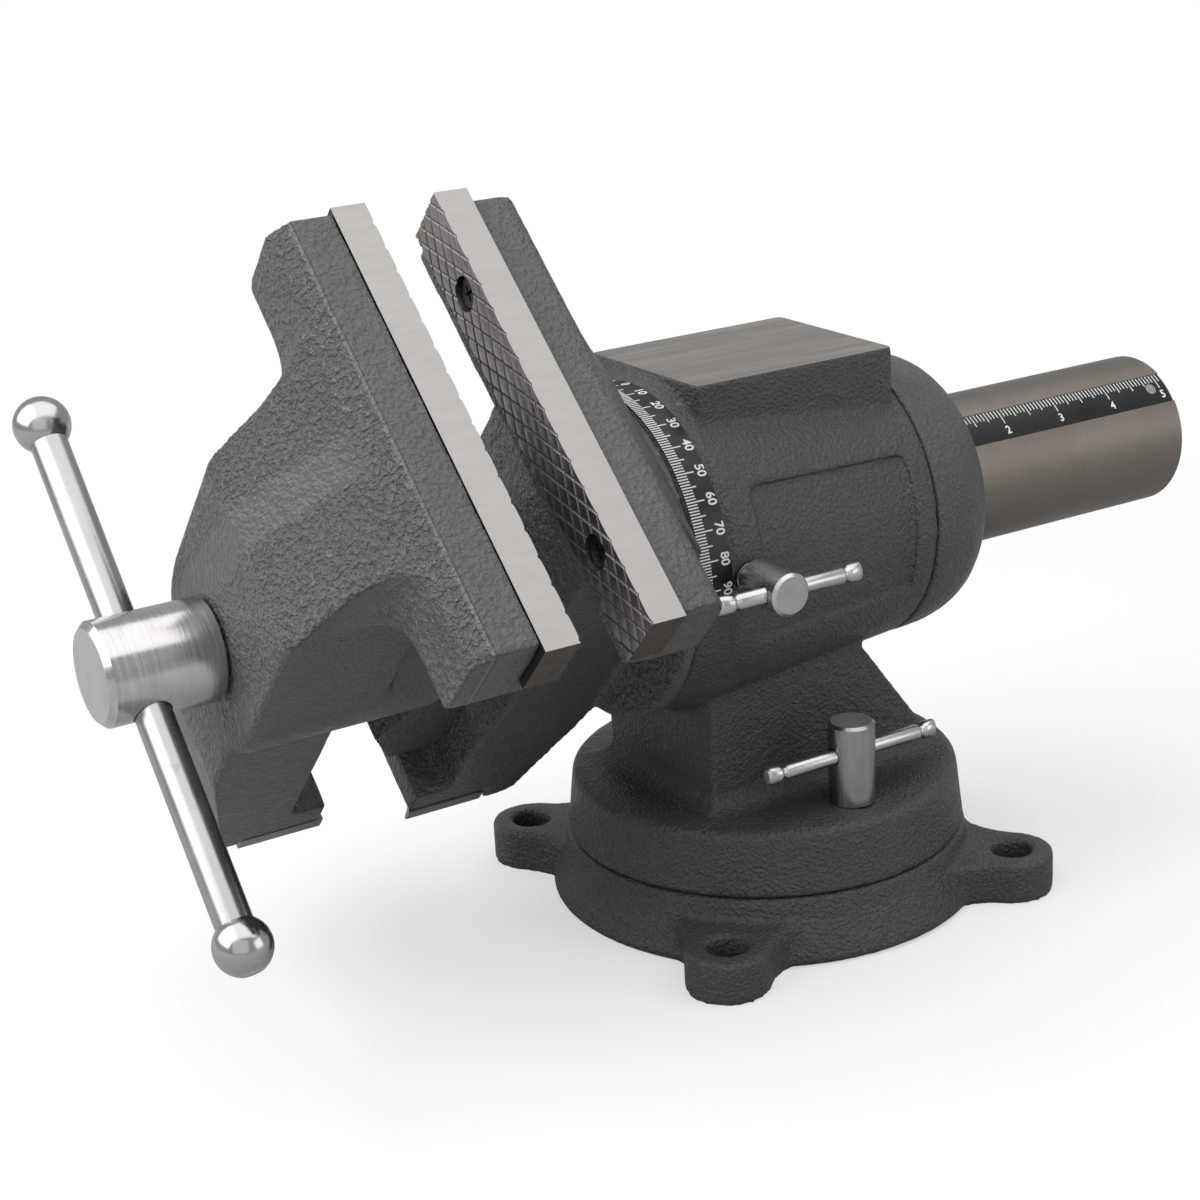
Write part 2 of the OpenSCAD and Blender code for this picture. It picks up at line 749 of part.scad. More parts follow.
module front_pad() {
    half = front_arm_w / 2;
    back = y_front_seat + front_pad_reach;
    color("lightgray") in_head() difference() {
        translate([-half, back - front_pad_len, -foot_drop])
            cube([front_arm_w, front_pad_len, pad_t - seat_gap]);
        pad_screw_holes(half * pad_screw_share, back - front_pad_len / 2);
    }
}

module front_pad_screw(side) {
    color("black") in_head() translate([side * front_arm_w / 2 * pad_screw_share,
        y_front_seat + front_pad_reach - front_pad_len / 2, 0]) pad_screw();
}

// Teeth along a flank from a to b, as points that step in by the tooth depth
function teeth(a, b, count) =
    let (along = b - a, size = norm(along), inward = [-along.y, along.x] / size * tooth_depth)
    [for (i = [0:count - 1]) each [a + along * i / count,
        a + along * (i + tooth_back_share) / count + inward]];

// A pipe jaw that faces -Y from a seat at y = 0, toothed on both flanks of its crest
module pipe_jaw() {
    root = pipe_reach - pipe_flank_in;
    top = [-root, pipe_half_h - pipe_drop];
    crest = [-pipe_reach, -pipe_drop];
    low = [-root, -pipe_half_h - pipe_drop];
    side_plate(pipe_w / 2) polygon(concat([[-seat_gap, top.y]], teeth(top, crest, pipe_teeth),
        teeth(crest, low, pipe_teeth), [low, [-root + pipe_foot, low.y - pipe_foot],
            [-seat_gap, low.y - pipe_foot]]));
}

module rear_pipe_jaw() {
    color("dimgray") in_head() translate([0, y_rear_seat + rear_pipe_seat, 0]) pipe_jaw();
}

module front_pipe_jaw() {
    color("dimgray") in_head() translate([0, y_front_pipe_seat, 0]) mirror([0, 1, 0]) pipe_jaw();
}

// Upper part of the front jaw: wing and gusset, cut by its side, front and plan outlines
module front_upper() {
    knee = y_front_wing - front_slope_out / 2;
    intersection() {
        side_plate(jaw_half) polygon([[y_nose, slope_knee_u], [knee, jaw_top - top_bevel],
            [knee + top_bevel + edge, jaw_top], [y_front_seat, jaw_top], [y_front_seat, ledge_top],
            [y_front_seat + ledge_reach, ledge_top], [y_front_seat + ledge_reach, wing_bottom + edge],
            [y_front_seat, wing_bottom], [y_front_seat - edge, wing_bottom - edge],
            [y_front_seat - edge, 0], [y_nose, 0]]);
        face_plate(y_nose, y_front_seat + ledge_reach) polygon(mirrored(concat(
            [[jaw_half, jaw_top], [jaw_half, wing_bottom + 3 * edge], [jaw_half - 2 * edge, wing_bottom]],
            arc(body_half + arch_r, wing_bottom - arch_r, arch_r, 90, 180), [[body_half, 0]])));
        plan_plate(0, jaw_top) polygon(mirrored(concat(
            [[jaw_half, y_front_seat + ledge_reach], [jaw_half, y_front_wing]],
            arc(body_half + plan_r, y_front_wing - plan_r, plan_r, 90, 180),
            arc(body_half - nose_round, y_nose + nose_round, nose_round, 0, -90, 4))));
    }
}

module front_arm() {
    half = front_arm_w / 2;
    web = y_front_seat - front_web;
    foot = y_front_seat + front_foot_reach;
    toe = y_front_seat + front_pad_reach - front_pad_len - seat_gap;
    intersection() {
        side_plate(half) polygon(concat(
            [[y_nose, 0], [web, 0], [web, -foot_ledge + web_round]],
            arc(web + web_round, web_round - foot_ledge, web_round, 180, 270, 4),
            [[foot, -foot_ledge], [foot, -pad_top], [toe, -pad_top], [toe, -foot_drop + front_toe_lift],
                [y_nose + front_toe_in, -foot_drop + front_toe_lift], [y_nose, -front_toe_taper_u]]));
        plan_plate(-foot_drop, 0) polygon(mirrored(concat([[half, foot]],
            arc(half - nose_round, y_nose + nose_round, nose_round, 0, -90, 4))));
    }
}

module front_jaw() {
    hub_len = y_hub_back - y_nose;
    color("dimgray") difference() {
        union() {
            in_head() {
                front_upper();
                front_arm();
            }
            on_slide() rotate_extrude() polygon(concat([[0, y_nose]],
                arc(hub_r - hub_round, y_nose + hub_round, hub_round, -90, 0, 4),
                [[hub_r, y_hub_back - edge], [hub_r - edge, y_hub_back], [0, y_hub_back]]));
        }
        on_slide() translate([0, 0, y_tube_front]) cylinder(r = tube_r + seat_gap, h = hub_len);
        on_slide() translate([0, 0, y_nose - cut]) cylinder(r = spindle_neck_r + loose_gap, h = hub_len);
        in_head() {
            for (side = [-1, 1]) translate([side * insert_screw_at, y_front_seat + cut, insert_screw_u])
                rotate([90, 0, 0])
                    cylinder(r = insert_shank_r + seat_gap, h = insert_screw_len - insert_t + 3 * cut);
            for (side = [-1, 1]) translate([side * front_arm_w / 2 * pad_screw_share,
                y_front_seat + front_pad_reach - front_pad_len / 2, -pad_top - cut])
                    cylinder(r = pad_shank_r + seat_gap, h = pad_screw_len);
            translate([-pipe_w / 2 - seat_gap, y_front_pipe_seat,
                -pipe_drop - pipe_half_h - pipe_foot - seat_gap])
                    cube([pipe_w + 2 * seat_gap, pipe_reach + front_web,
                        2 * pipe_half_h + pipe_foot + 2 * seat_gap]);
        }
    }
}

module slide_tube() {
    slot_front = nut_y - close_travel - 2 * edge;
    slot_back = nut_y + stem_len + open_travel + 2 * edge;
    color("darkgray") difference() {
        on_slide() translate([0, 0, y_tube_front + seat_gap]) difference() {
            cylinder(r = tube_r, h = tube_back - y_tube_front);
            translate([0, 0, -cut]) cylinder(r = tube_bore_r, h = tube_back - y_tube_front + 2 * cut);
        }
        in_head() translate([-stem_w / 2 - loose_gap, slot_front, -tube_r - cut])
            cube([stem_w + 2 * loose_gap, slot_back - slot_front, tube_r]);
        in_head() ruler_sector(ruler_front - ruler_gap, tube_back + cut, tube_r - ruler_t - ruler_gap,
            tube_r + cut, ruler_gap);
        rivet_hole();
    }
}

// A strip of a ring about the slide axis, centred on the jaws' upright
module ruler_sector(y0, y1, r0, r1, side_gap) {
    half = asin((ruler_w / 2 + side_gap) / tube_r);
    rotate([-90, 0, 0]) rotate(-90 - half) rotate_extrude(angle = 2 * half)
        polygon([[r0, y0], [r1, y0], [r1, y1], [r0, y1]]);
}

module rivet_hole() {
    in_head() translate([0, tube_back - rivet_inset, 0]) cylinder(r = rivet_r + seat_gap / 2, h = tube_r + cut);
}

module ruler_strip() {
    color("black") difference() {
        in_head() ruler_sector(ruler_front, tube_back - edge, tube_r - ruler_t, tube_r, 0);
        rivet_hole();
    }
}

module ruler_rivet() {
    color("silver") in_head() translate([0, tube_back - rivet_inset, tube_r + rivet_proud - rivet_len])
        cylinder(r = rivet_r, h = rivet_len);
}

module spindle() {
    turn = head_turn + handle_turn;
    color("silver") difference() {
        on_slide() rotate_extrude() polygon([[0, y_spindle_front], [spindle_head_r - 2 * edge, y_spindle_front],
            [spindle_head_r, y_spindle_front + 2 * edge], [spindle_head_r, y_nose - spindle_play - edge],
            [spindle_head_r - edge, y_nose - spindle_play], [spindle_neck_r, y_nose - spindle_play],
            [spindle_neck_r, y_tube_front + collar_t + edge], [spindle_r, y_tube_front + collar_t + 2 * edge],
            [spindle_r, y_spindle_end - edge], [spindle_r - edge, y_spindle_end], [0, y_spindle_end]]);
        translate([0, y_handle, axis_h]) rotate([0, turn + 90, 0])
            cylinder(r = handle_r + loose_gap, h = spindle_head_d + 2 * cut, center = true);
    }
}

module spindle_collar() {
    color("silver") on_slide() translate([0, 0, y_tube_front + turn_gap]) difference() {
        cylinder(r = collar_r, h = collar_t);
        translate([0, 0, -cut]) cylinder(r = spindle_neck_r + seat_gap, h = collar_t + 2 * cut);
    }
}

module spindle_nut() {
    color("goldenrod") difference() {
        union() {
            on_slide() translate([0, 0, nut_y]) cylinder(r = nut_r, h = nut_len);
            in_head() translate([-stem_w / 2, nut_y + seat_gap, -stem_reach])
                cube([stem_w, stem_len - seat_gap, stem_reach - spindle_r - edge]);
        }
        on_slide() translate([0, 0, nut_y - cut]) cylinder(r = spindle_r + thread_gap, h = nut_len + 2 * cut);
    }
}

// Places a shape drawn about Z on the handle's axis, with +Z towards the upper ball
module on_handle() {
    translate([0, y_handle, axis_h]) rotate([0, head_turn + handle_turn - 90, 0]) children();
}

module handle_bar() {
    len = handle_span - 2 * seat_gap;
    color("silver") on_handle() translate([0, 0, -handle_shift]) cylinder(r = handle_r, h = len, center = true);
}

// A ball with a flat outer end and a blind hole for the bar
module handle_ball(side) {
    reach = handle_span / 2;
    color("silver") on_handle() translate([0, 0, side * reach - handle_shift]) mirror([0, 0, side < 0 ? 1 : 0])
        difference() {
            intersection() {
                sphere(r = ball_r);
                translate([0, 0, ball_r * (ball_flat_share - 1)])
                    cube([2 * ball_r, 2 * ball_r, 2 * ball_r], center = true);
            }
            translate([0, 0, -ball_r - cut]) cylinder(r = handle_r + seat_gap, h = ball_r + cut);
        }
}

base_plate();
swivel_body();
pivot_bolt();
pivot_washer();
lock_nut(1);  // lock_nut_right
lock_nut(-1);  // lock_nut_left
lock_bolt(1);  // lock_bolt_right
lock_bolt(-1);  // lock_bolt_left
lock_bar(1);  // lock_bar_right
lock_bar(-1);  // lock_bar_left
angle_scale();
head_bolt();
head_bar();
clamp_shoe();
rear_jaw();
rear_cap();
rear_insert();
rear_insert_screw(1);  // rear_insert_screw_near
rear_insert_screw(-1);  // rear_insert_screw_far
rear_pad();
rear_pad_screw(1);  // rear_pad_screw_near
rear_pad_screw(-1);  // rear_pad_screw_far
rear_pipe_jaw();
front_jaw();
front_insert();
front_insert_screw(1);  // front_insert_screw_near
front_insert_screw(-1);  // front_insert_screw_far
front_pad();
front_pad_screw(1);  // front_pad_screw_near
front_pad_screw(-1);  // front_pad_screw_far
front_pipe_jaw();
slide_tube();
ruler_strip();
ruler_rivet();
spindle();
spindle_nut();
spindle_collar();
handle_bar();
handle_ball(1);  // handle_ball_upper
handle_ball(-1);  // handle_ball_lower
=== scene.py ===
"""Looks of the swivel bench vise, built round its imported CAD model.

Metres, Z up. The slide axis runs along Y at the height AXIS_H, with the front jaw towards -Y, and the head is
turned about it by HEAD_TURN. Lengths in the functions' arguments are in mm where their texts say so.
"""
import math

import bmesh
import bpy
from mathutils import Matrix, Vector, noise


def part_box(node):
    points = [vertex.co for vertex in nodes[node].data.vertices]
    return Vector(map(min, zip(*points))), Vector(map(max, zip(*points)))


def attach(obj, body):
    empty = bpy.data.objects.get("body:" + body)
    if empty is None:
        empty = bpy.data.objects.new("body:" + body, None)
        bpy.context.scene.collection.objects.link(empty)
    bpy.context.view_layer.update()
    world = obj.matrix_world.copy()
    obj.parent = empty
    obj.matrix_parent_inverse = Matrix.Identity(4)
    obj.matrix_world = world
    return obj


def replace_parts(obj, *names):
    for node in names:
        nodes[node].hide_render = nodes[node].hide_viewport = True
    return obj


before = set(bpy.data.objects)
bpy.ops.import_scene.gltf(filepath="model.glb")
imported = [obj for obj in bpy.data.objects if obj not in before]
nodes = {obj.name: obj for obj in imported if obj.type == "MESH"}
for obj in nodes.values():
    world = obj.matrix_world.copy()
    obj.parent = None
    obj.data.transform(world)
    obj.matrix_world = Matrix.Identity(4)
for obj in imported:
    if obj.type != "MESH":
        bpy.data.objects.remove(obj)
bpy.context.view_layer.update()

MM = 0.001
AXIS_H = 137.7 * MM
HEAD_TURN = math.radians(43.3)
HEAD = Matrix.Translation((0, 0, AXIS_H)) @ Matrix.Rotation(HEAD_TURN, 4, "Y")
HEAD_BACK = HEAD.inverted()

# The faces of the jaw inserts along Y in mm, the plane midway between them and half their opening
REAR_FACE, FRONT_FACE = -127.6, -150.7
BETWEEN_JAWS, HALF_OPEN = (REAR_FACE + FRONT_FACE) / 2 * MM, (REAR_FACE - FRONT_FACE) / 2 * MM

# The casting seam over the front gusset
SEAM_Y = -176.8 * MM

# The axes of the lock bolts (x, either side of the pivot) and of the head's lock bolt, in mm
LOCK_X = 54.0
HEAD_LOCK_Y, HEAD_LOCK_Z = -43.0, 139.7

# The sunk panel on each side of the barrel: how far its middle is turned up, the radius it lies at, its
# middle along Y, its corners' radius, and the halves of its arc and length without the corners
PANEL_TURN, PANEL_R, PANEL_Y, PANEL_CORNER = math.radians(3.5), 54.5 * MM, -2.55 * MM, 4.0 * MM
PANEL_ARC = PANEL_R * math.radians(27.5) - PANEL_CORNER
PANEL_LONG = 34.05 * MM - PANEL_CORNER


# ---------------------------------------------------------------- node materials
class Nodes:
    """A material and short calls that add its nodes."""

    def __init__(self, name):
        self.material = bpy.data.materials.new(name)
        self.material.use_nodes = True
        self.tree = self.material.node_tree
        self.shader = self.tree.nodes["Principled BSDF"]

    def add(self, kind, **inputs):
        """A node with its inputs set or linked, by their names or by their places as i0, i1 and so on."""
        node = self.tree.nodes.new(kind)
        for key, value in inputs.items():
            numbered = key[0] == "i" and key[1:].isdigit()
            self.put(node.inputs[int(key[1:])] if numbered else node.inputs[key], value)
        return node

    def put(self, socket, value):
        if isinstance(value, bpy.types.NodeSocket):
            self.tree.links.new(value, socket)
        else:
            socket.default_value = value

    def place(self, turned=None):
        """The rest frame's coordinates, or those of a turned frame."""
        out = self.add("ShaderNodeTexCoord").outputs["Object"]
        if turned is None:
            return out
        mapping = self.add("ShaderNodeMapping", Vector=out)
        mapping.vector_type = "POINT"
        location, rotation, _ = turned.decompose()
        mapping.inputs["Location"].default_value = location
        mapping.inputs["Rotation"].default_value = rotation.to_euler()
        return mapping.outputs[0]

    def facing(self, turned=None):
        """The surface's own direction in the piece's frame, or in a turned frame."""
        out = self.add("ShaderNodeTexCoord").outputs["Normal"]
        if turned is None:
            return out
        mapping = self.add("ShaderNodeMapping", Vector=out)
        mapping.vector_type = "VECTOR"
        mapping.inputs["Rotation"].default_value = turned.to_euler()
        return mapping.outputs[0]

    def radius(self, a, b, at_a, at_b):
        """Distance from a line along the third axis, on a vector's x."""
        da = self.math("SUBTRACT", a, at_a)
        db = self.math("SUBTRACT", b, at_b)
        square = self.math("ADD", self.math("MULTIPLY", da, da), self.math("MULTIPLY", db, db))
        return self.add("ShaderNodeCombineXYZ", X=self.math("SQRT", square)).outputs[0]

    def stretch(self, place, scale):
        return self.add("ShaderNodeMapping", Vector=place, Scale=scale).outputs[0]

    def noise(self, place, scale, detail=3.0, rough=0.6):
        node = self.add("ShaderNodeTexNoise", Vector=place, Scale=scale, Detail=detail, Roughness=rough)
        return node.outputs["Fac"]

    def math(self, operation, a, b=0.0):
        node = self.add("ShaderNodeMath", i0=a, i1=b)
        node.operation = operation
        return node.outputs[0]

    def span(self, value, low, high, to_low=0.0, to_high=1.0):
        """The value carried from the range low to high onto another, and held at its ends."""
        node = self.add("ShaderNodeMapRange", i0=value, i1=low, i2=high, i3=to_low, i4=to_high)
        return node.outputs[0]

    def mix(self, factor, a, b):
        """A colour between a and b."""
        node = self.tree.nodes.new("ShaderNodeMix")
        node.data_type = "RGBA"
        self.put(node.inputs[0], factor)
        self.put(node.inputs[6], a)
        self.put(node.inputs[7], b)
        return node.outputs[2]

    def blend(self, factor, a, b):
        """A number between a and b."""
        node = self.tree.nodes.new("ShaderNodeMix")
        node.data_type = "FLOAT"
        self.put(node.inputs[0], factor)
        self.put(node.inputs[2], a)
        self.put(node.inputs[3], b)
        return node.outputs[0]

    def bump(self, height, distance, strength):
        return self.add("ShaderNodeBump", Height=height, Distance=distance, Strength=strength).outputs[0]

    def split(self, place):
        return self.add("ShaderNodeSeparateXYZ", Vector=place).outputs

    def finish(self, **inputs):
        for key, value in inputs.items():
            self.put(self.shader.inputs[key.replace("_", " ")], value)
        return self.material


def grey(value, warm=0.0):
    """A linear colour from an sRGB tone of 0 to 255, a little warmer or cooler."""
    tones = (value * (1 + warm), value, value * (1 - warm))
    return tuple(((tone / 255 + 0.055) / 1.055) ** 2.4 for tone in tones) + (1.0,)


def jaw_masks(m):
    """How coarse a jaw's skin is, and its seam. The slopes that face front, back and up are coarse from the
    sand mould, the sides and tops smoother, and the gusset's crest is dressed along a slanting patch."""
    toward = m.split(m.facing(HEAD_BACK))
    across, along, up = m.split(m.place(HEAD_BACK))
    slope = m.math("ADD", m.math("MULTIPLY", m.math("ABSOLUTE", toward[1]), 0.75),
                   m.math("MULTIPLY", m.math("MAXIMUM", toward[2], 0.0), 0.75))
    slant = m.math("MULTIPLY", m.math("SUBTRACT", up, 104 * MM), 0.19)
    crest = m.math("ABSOLUTE", m.math("SUBTRACT", across, slant))
    dressed = m.math("MULTIPLY", m.span(crest, 9 * MM, 6 * MM), m.span(up, 106 * MM, 100 * MM))
    skin = m.math("MULTIPLY", m.span(slope, 0.35, 0.75), m.span(dressed, 0.0, 1.0, 1.0, 0.12))
    skin = m.math("MULTIPLY", skin, m.span(toward[2], 0.78, 0.95, 1.0, 0.16))
    from_seam = m.math("ABSOLUTE", m.math("SUBTRACT", along, SEAM_Y))
    seam = m.math("MULTIPLY", m.span(from_seam, 0.9 * MM, 0.3 * MM), m.span(up, 70 * MM, 90 * MM))
    return m.span(skin, 0.0, 1.0, 0.20, 1.0), seam


def panel_mask(m, place):
    """1 inside the barrel's panels, with a crisp step at their edge."""
    x, y, z = m.split(place)
    aside = m.math("ABSOLUTE", x)
    angle = m.math("ARCTAN2", m.math("SUBTRACT", z, AXIS_H), aside)
    arc = m.math("MULTIPLY", m.math("SUBTRACT", angle, PANEL_TURN), PANEL_R)
    past = [m.math("MAXIMUM", m.math("SUBTRACT", m.math("ABSOLUTE", side), half), 0.0) for side, half in
            ((arc, PANEL_ARC), (m.math("SUBTRACT", y, PANEL_Y), PANEL_LONG))]
    square = m.math("ADD", *[m.math("MULTIPLY", side, side) for side in past])
    inside = m.span(m.math("SQRT", square), PANEL_CORNER + 0.3 * MM, PANEL_CORNER - 0.3 * MM)
    return m.math("MULTIPLY", inside, m.span(aside, 20 * MM, 30 * MM))


def casting_material(name, tone, coarse=1.0, grain=760.0, jaw=False, panel=False):
    """Painted cast iron: fine grains and soft lumps, with painted highlights on the grains' tops and painted
    shade between them.
    """
    m = Nodes(name)
    place = m.place()
    grains = m.noise(place, grain, 2.0, 0.55)
    lumps = m.noise(place, 170.0, 2.0, 0.5)
    peel = m.noise(place, 900.0, 2.0, 0.5)
    broad = m.noise(place, 22.0, 3.0, 0.55)
    if jaw:
        skin, seam = jaw_masks(m)
    else:
        skin = m.span(broad, 0.3, 0.7, 0.34 * coarse, 0.48 * coarse)
    height = m.math("MULTIPLY", m.span(grains, 0.33, 0.67), skin)
    height = m.math("ADD", height, m.math("MULTIPLY", lumps, 0.5))
    height = m.math("ADD", height, m.math("MULTIPLY", peel, 0.16))
    if jaw:
        height = m.math("ADD", height, m.math("MULTIPLY", seam, 0.5))
    if panel:
        height = m.math("SUBTRACT", height, m.math("MULTIPLY", panel_mask(m, place), 0.55))
    colour = m.mix(m.span(broad, 0.35, 0.65), grey(tone * 0.95, -0.006), grey(tone * 1.03, -0.003))
    # Painted highlight on the grains' tops and painted shade in the hollows between them, both stronger where
    # the skin is coarse
    light = m.math("MULTIPLY", m.span(grains, 0.56, 0.74), m.math("MULTIPLY", skin, 0.55))
    painted_grain_shade = m.math("MULTIPLY", m.span(grains, 0.44, 0.28), m.math("MULTIPLY", skin, 0.75))
    colour = m.mix(light, colour, grey(tone * 1.35, -0.002))
    colour = m.mix(painted_grain_shade, colour, grey(tone * 0.62, -0.006))
    if jaw:
        colour = m.mix(m.math("MULTIPLY", seam, 0.45), colour, grey(tone * 1.5, -0.002))
    return m.finish(Base_Color=colour, Roughness=m.span(lumps, 0.3, 0.7, 0.44, 0.31), Metallic=0.0,
                    Specular_IOR_Level=0.45, Normal=m.bump(height, 1.1 * MM, 1.0))


def steel_material(name, tone, warm, stretch, roughness, turned=None):
    """Bare ground steel with stains, and lines along the axes where stretch is small."""
    m = Nodes(name)
    place = m.place(turned)
    lines = m.noise(m.stretch(place, stretch), 220.0, 4.0, 0.6)
    broad = m.noise(place, 30.0)
    fine = m.noise(m.stretch(place, stretch), 900.0)
    tones = m.span(lines, 0.35, 0.65)
    colour = m.mix(tones, grey(tone * 0.95, warm), grey(tone * 1.03, warm))
    stains = m.math("MULTIPLY", m.span(broad, 0.45, 0.7), 0.25)
    colour = m.mix(stains, colour, grey(tone * 0.82, warm * 1.6))
    rough = m.span(m.math("ADD", m.math("MULTIPLY", lines, 0.6), m.math("MULTIPLY", broad, 0.4)), 0.35, 0.65,
                   roughness - 0.06, roughness + 0.08)
    height = m.math("ADD", lines, m.math("MULTIPLY", fine, 0.35))
    return m.finish(Base_Color=colour, Roughness=rough, Metallic=1.0, Normal=m.bump(height, 0.03 * MM, 0.6))


def turned_material(name, tone, warm, roughness, axis, at, streaks, face_tone):
    """Turned round stock about the line at: rings on its end faces, and streaks or rings on its side."""
    m = Nodes(name)
    place = m.place()
    x, y, z = m.split(place)
    a, b, way = {"X": (y, z, 0), "Y": (x, z, 1), "Z": (x, y, 2)}[axis]
    rings = m.noise(m.radius(a, b, *at), 1900.0)
    end = m.span(m.math("ABSOLUTE", m.split(m.facing())[way]), 0.75, 0.95)
    side = m.noise(m.stretch(place, streaks), 260.0, 4.0, 0.65)
    broad = m.noise(place, 70.0)
    lines = m.blend(end, side, rings)
    plain = m.mix(m.span(side, 0.35, 0.65), grey(tone * 0.96, warm), grey(tone * 1.03, warm))
    face = m.mix(m.span(rings, 0.35, 0.65), grey(face_tone * 0.93, warm), grey(face_tone * 1.04, warm))
    colour = m.mix(end, plain, face)
    colour = m.mix(m.math("MULTIPLY", m.span(broad, 0.52, 0.72), 0.30), colour, grey(tone * 0.70, warm))
    rough = m.blend(end, m.span(side, 0.3, 0.7, roughness - 0.05, roughness + 0.08),
                    m.span(rings, 0.3, 0.7, roughness + 0.18, roughness + 0.30))
    return m.finish(Base_Color=colour, Roughness=rough, Metallic=1.0, Normal=m.bump(lines, 0.03 * MM, 0.5))


def insert_material(name):
    """Hardened jaw inserts: ground bright on top, with painted shade in the teeth's grooves, and brown on the
    sawn ends.
    """
    m = Nodes(name)
    place = m.place(HEAD_BACK)
    along = m.split(place)[1]
    lines = m.noise(m.stretch(place, (1.0, 0.25, 1.0)), 330.0, 4.0, 0.6)
    broad = m.noise(place, 38.0)
    spots = m.noise(place, 260.0, 4.0, 0.7)
    toward = m.split(m.facing(HEAD_BACK))
    top = m.span(m.math("ABSOLUTE", toward[2]), 0.7, 0.9)
    ends = m.span(m.math("ABSOLUTE", toward[0]), 0.7, 0.9)
    # Painted shade in the teeth's grooves: the toothed face turns darker and less metallic with its depth below
    # the tips
    depth = m.math("SUBTRACT", m.math("ABSOLUTE", m.math("SUBTRACT", along, BETWEEN_JAWS)), HALF_OPEN)
    toothed_face = m.math("SUBTRACT", 1.0, m.math("MAXIMUM", top, ends))
    groove = m.math("MULTIPLY", m.span(depth, 0.12 * MM, 0.6 * MM), toothed_face)
    colour = m.mix(m.span(lines, 0.35, 0.65), grey(144, 0.016), grey(153, 0.013))
    colour = m.mix(m.math("MULTIPLY", m.span(spots, 0.58, 0.74), 0.20), colour, grey(128, 0.03))
    face = m.mix(m.span(broad, 0.35, 0.65), grey(132, 0.028), grey(150, 0.02))
    colour = m.mix(top, face, colour)
    # The painted groove shade
    colour = m.mix(groove, colour, grey(52, 0.03))
    brown = m.mix(m.span(spots, 0.35, 0.65), grey(88, 0.07), grey(106, 0.06))
    colour = m.mix(ends, colour, brown)
    rough = m.math("ADD", m.span(lines, 0.3, 0.7, 0.30, 0.42), m.math("MULTIPLY", ends, 0.12))
    metal = m.span(groove, 0.0, 1.0, 1.0, 0.6)
    return m.finish(Base_Color=colour, Roughness=rough, Metallic=metal,
                    Normal=m.bump(m.math("ADD", lines, m.math("MULTIPLY", spots, 0.4)), 0.04 * MM, 0.6))


def plated_material(name, tone, warm, roughness):
    """Plated steel or brass with faint dull spots."""
    m = Nodes(name)
    place = m.place()
    broad = m.noise(place, 45.0)
    fine = m.noise(place, 700.0)
    spots = m.span(m.noise(place, 160.0, 4.0, 0.7), 0.58, 0.72)
    colour = m.mix(m.span(broad, 0.35, 0.65), grey(tone * 0.96, warm), grey(tone * 1.02, warm))
    colour = m.mix(m.math("MULTIPLY", spots, 0.35), colour, grey(tone * 0.80, warm))
    rough = m.math("ADD", m.span(broad, 0.3, 0.7, roughness - 0.04, roughness + 0.06),
                   m.math("MULTIPLY", spots, 0.10))
    return m.finish(Base_Color=colour, Roughness=rough, Metallic=1.0,
                    Normal=m.bump(m.math("ADD", m.math("MULTIPLY", fine, 0.2), broad), 0.12 * MM, 0.5))


def black_material(name, tone, roughness):
    """Black oxide or lacquer."""
    m = Nodes(name)
    place = m.place()
    broad = m.noise(place, 60.0)
    fine = m.noise(place, 900.0, 2.0, 0.5)
    colour = m.mix(m.span(broad, 0.35, 0.65), grey(tone), grey(tone * 1.25))
    return m.finish(Base_Color=colour, Roughness=m.span(broad, 0.3, 0.7, roughness - 0.05, roughness + 0.08),
                    Metallic=0.0, Specular_IOR_Level=0.3, Normal=m.bump(fine, 0.04 * MM, 0.4))


def ink_material(name):
    """The white of the scale's and the ruler's marks."""
    m = Nodes(name)
    broad = m.noise(m.place(), 120.0)
    colour = m.mix(m.span(broad, 0.35, 0.65), grey(228, 0.004), grey(240, 0.002))
    return m.finish(Base_Color=colour, Roughness=m.span(broad, 0.3, 0.7, 0.45, 0.55), Metallic=0.0)


PAINT = casting_material("paint", 72)
BARREL_PAINT = casting_material("barrel_paint", 73, panel=True)
JAW_PAINT = casting_material("jaw_paint", 88, grain=560.0, jaw=True)
CAP_PAINT = casting_material("cap_paint", 81, coarse=0.8)
INSERT = insert_material("insert_steel")
PAD = steel_material("pad_steel", 150, 0.03, (0.2, 1.0, 1.0), 0.42, HEAD_BACK)
ANVIL = steel_material("anvil_steel", 152, 0.035, (1.0, 0.05, 1.0), 0.46)
TUBE = steel_material("tube_steel", 120, 0.055, (1.0, 9.0, 1.0), 0.46)
SPINDLE = turned_material("turned_steel", 196, 0.010, 0.20, "Y", (0.0, AXIS_H), (0.15, 5.0, 0.15), 196)
LOCK_RIGHT = turned_material("lock_steel_right", 160, 0.0, 0.24, "Z", (LOCK_X * MM, 0.0), (1.0, 1.0, 0.05), 200)
LOCK_LEFT = turned_material("lock_steel_left", 160, 0.0, 0.24, "Z", (-LOCK_X * MM, 0.0), (1.0, 1.0, 0.05), 200)
HEAD_LOCK = turned_material("head_lock_steel", 196, 0.0, 0.26, "X",
                            (HEAD_LOCK_Y * MM, HEAD_LOCK_Z * MM), (0.05, 1.0, 1.0), 172)
ZINC = plated_material("zinc", 170, 0.0, 0.27)
BALL = plated_material("ball_plating", 180, 0.0, 0.19)
HARDWARE = plated_material("hardware_plating", 190, -0.004, 0.26)
BRASS = plated_material("brass", 170, 0.2, 0.3)
SCALE = black_material("scale_black", 26, 0.30)
SCREW = black_material("screw_black", 20, 0.32)
INK = ink_material("scale_white")


# ---------------------------------------------------------------- meshes
def new_object(name, mesh, body, slot, *materials):
    obj = bpy.data.objects.new(name, mesh)
    bpy.context.scene.collection.objects.link(obj)
    mesh.materials.clear()
    for material in materials:
        mesh.materials.append(material)
    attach(obj, body)
    return obj


def from_bmesh(name, bm, body, slot, material):
    mesh = bpy.data.meshes.new(name)
    bm.to_mesh(mesh)
    bm.free()
    return new_object(name, mesh, body, slot, material)


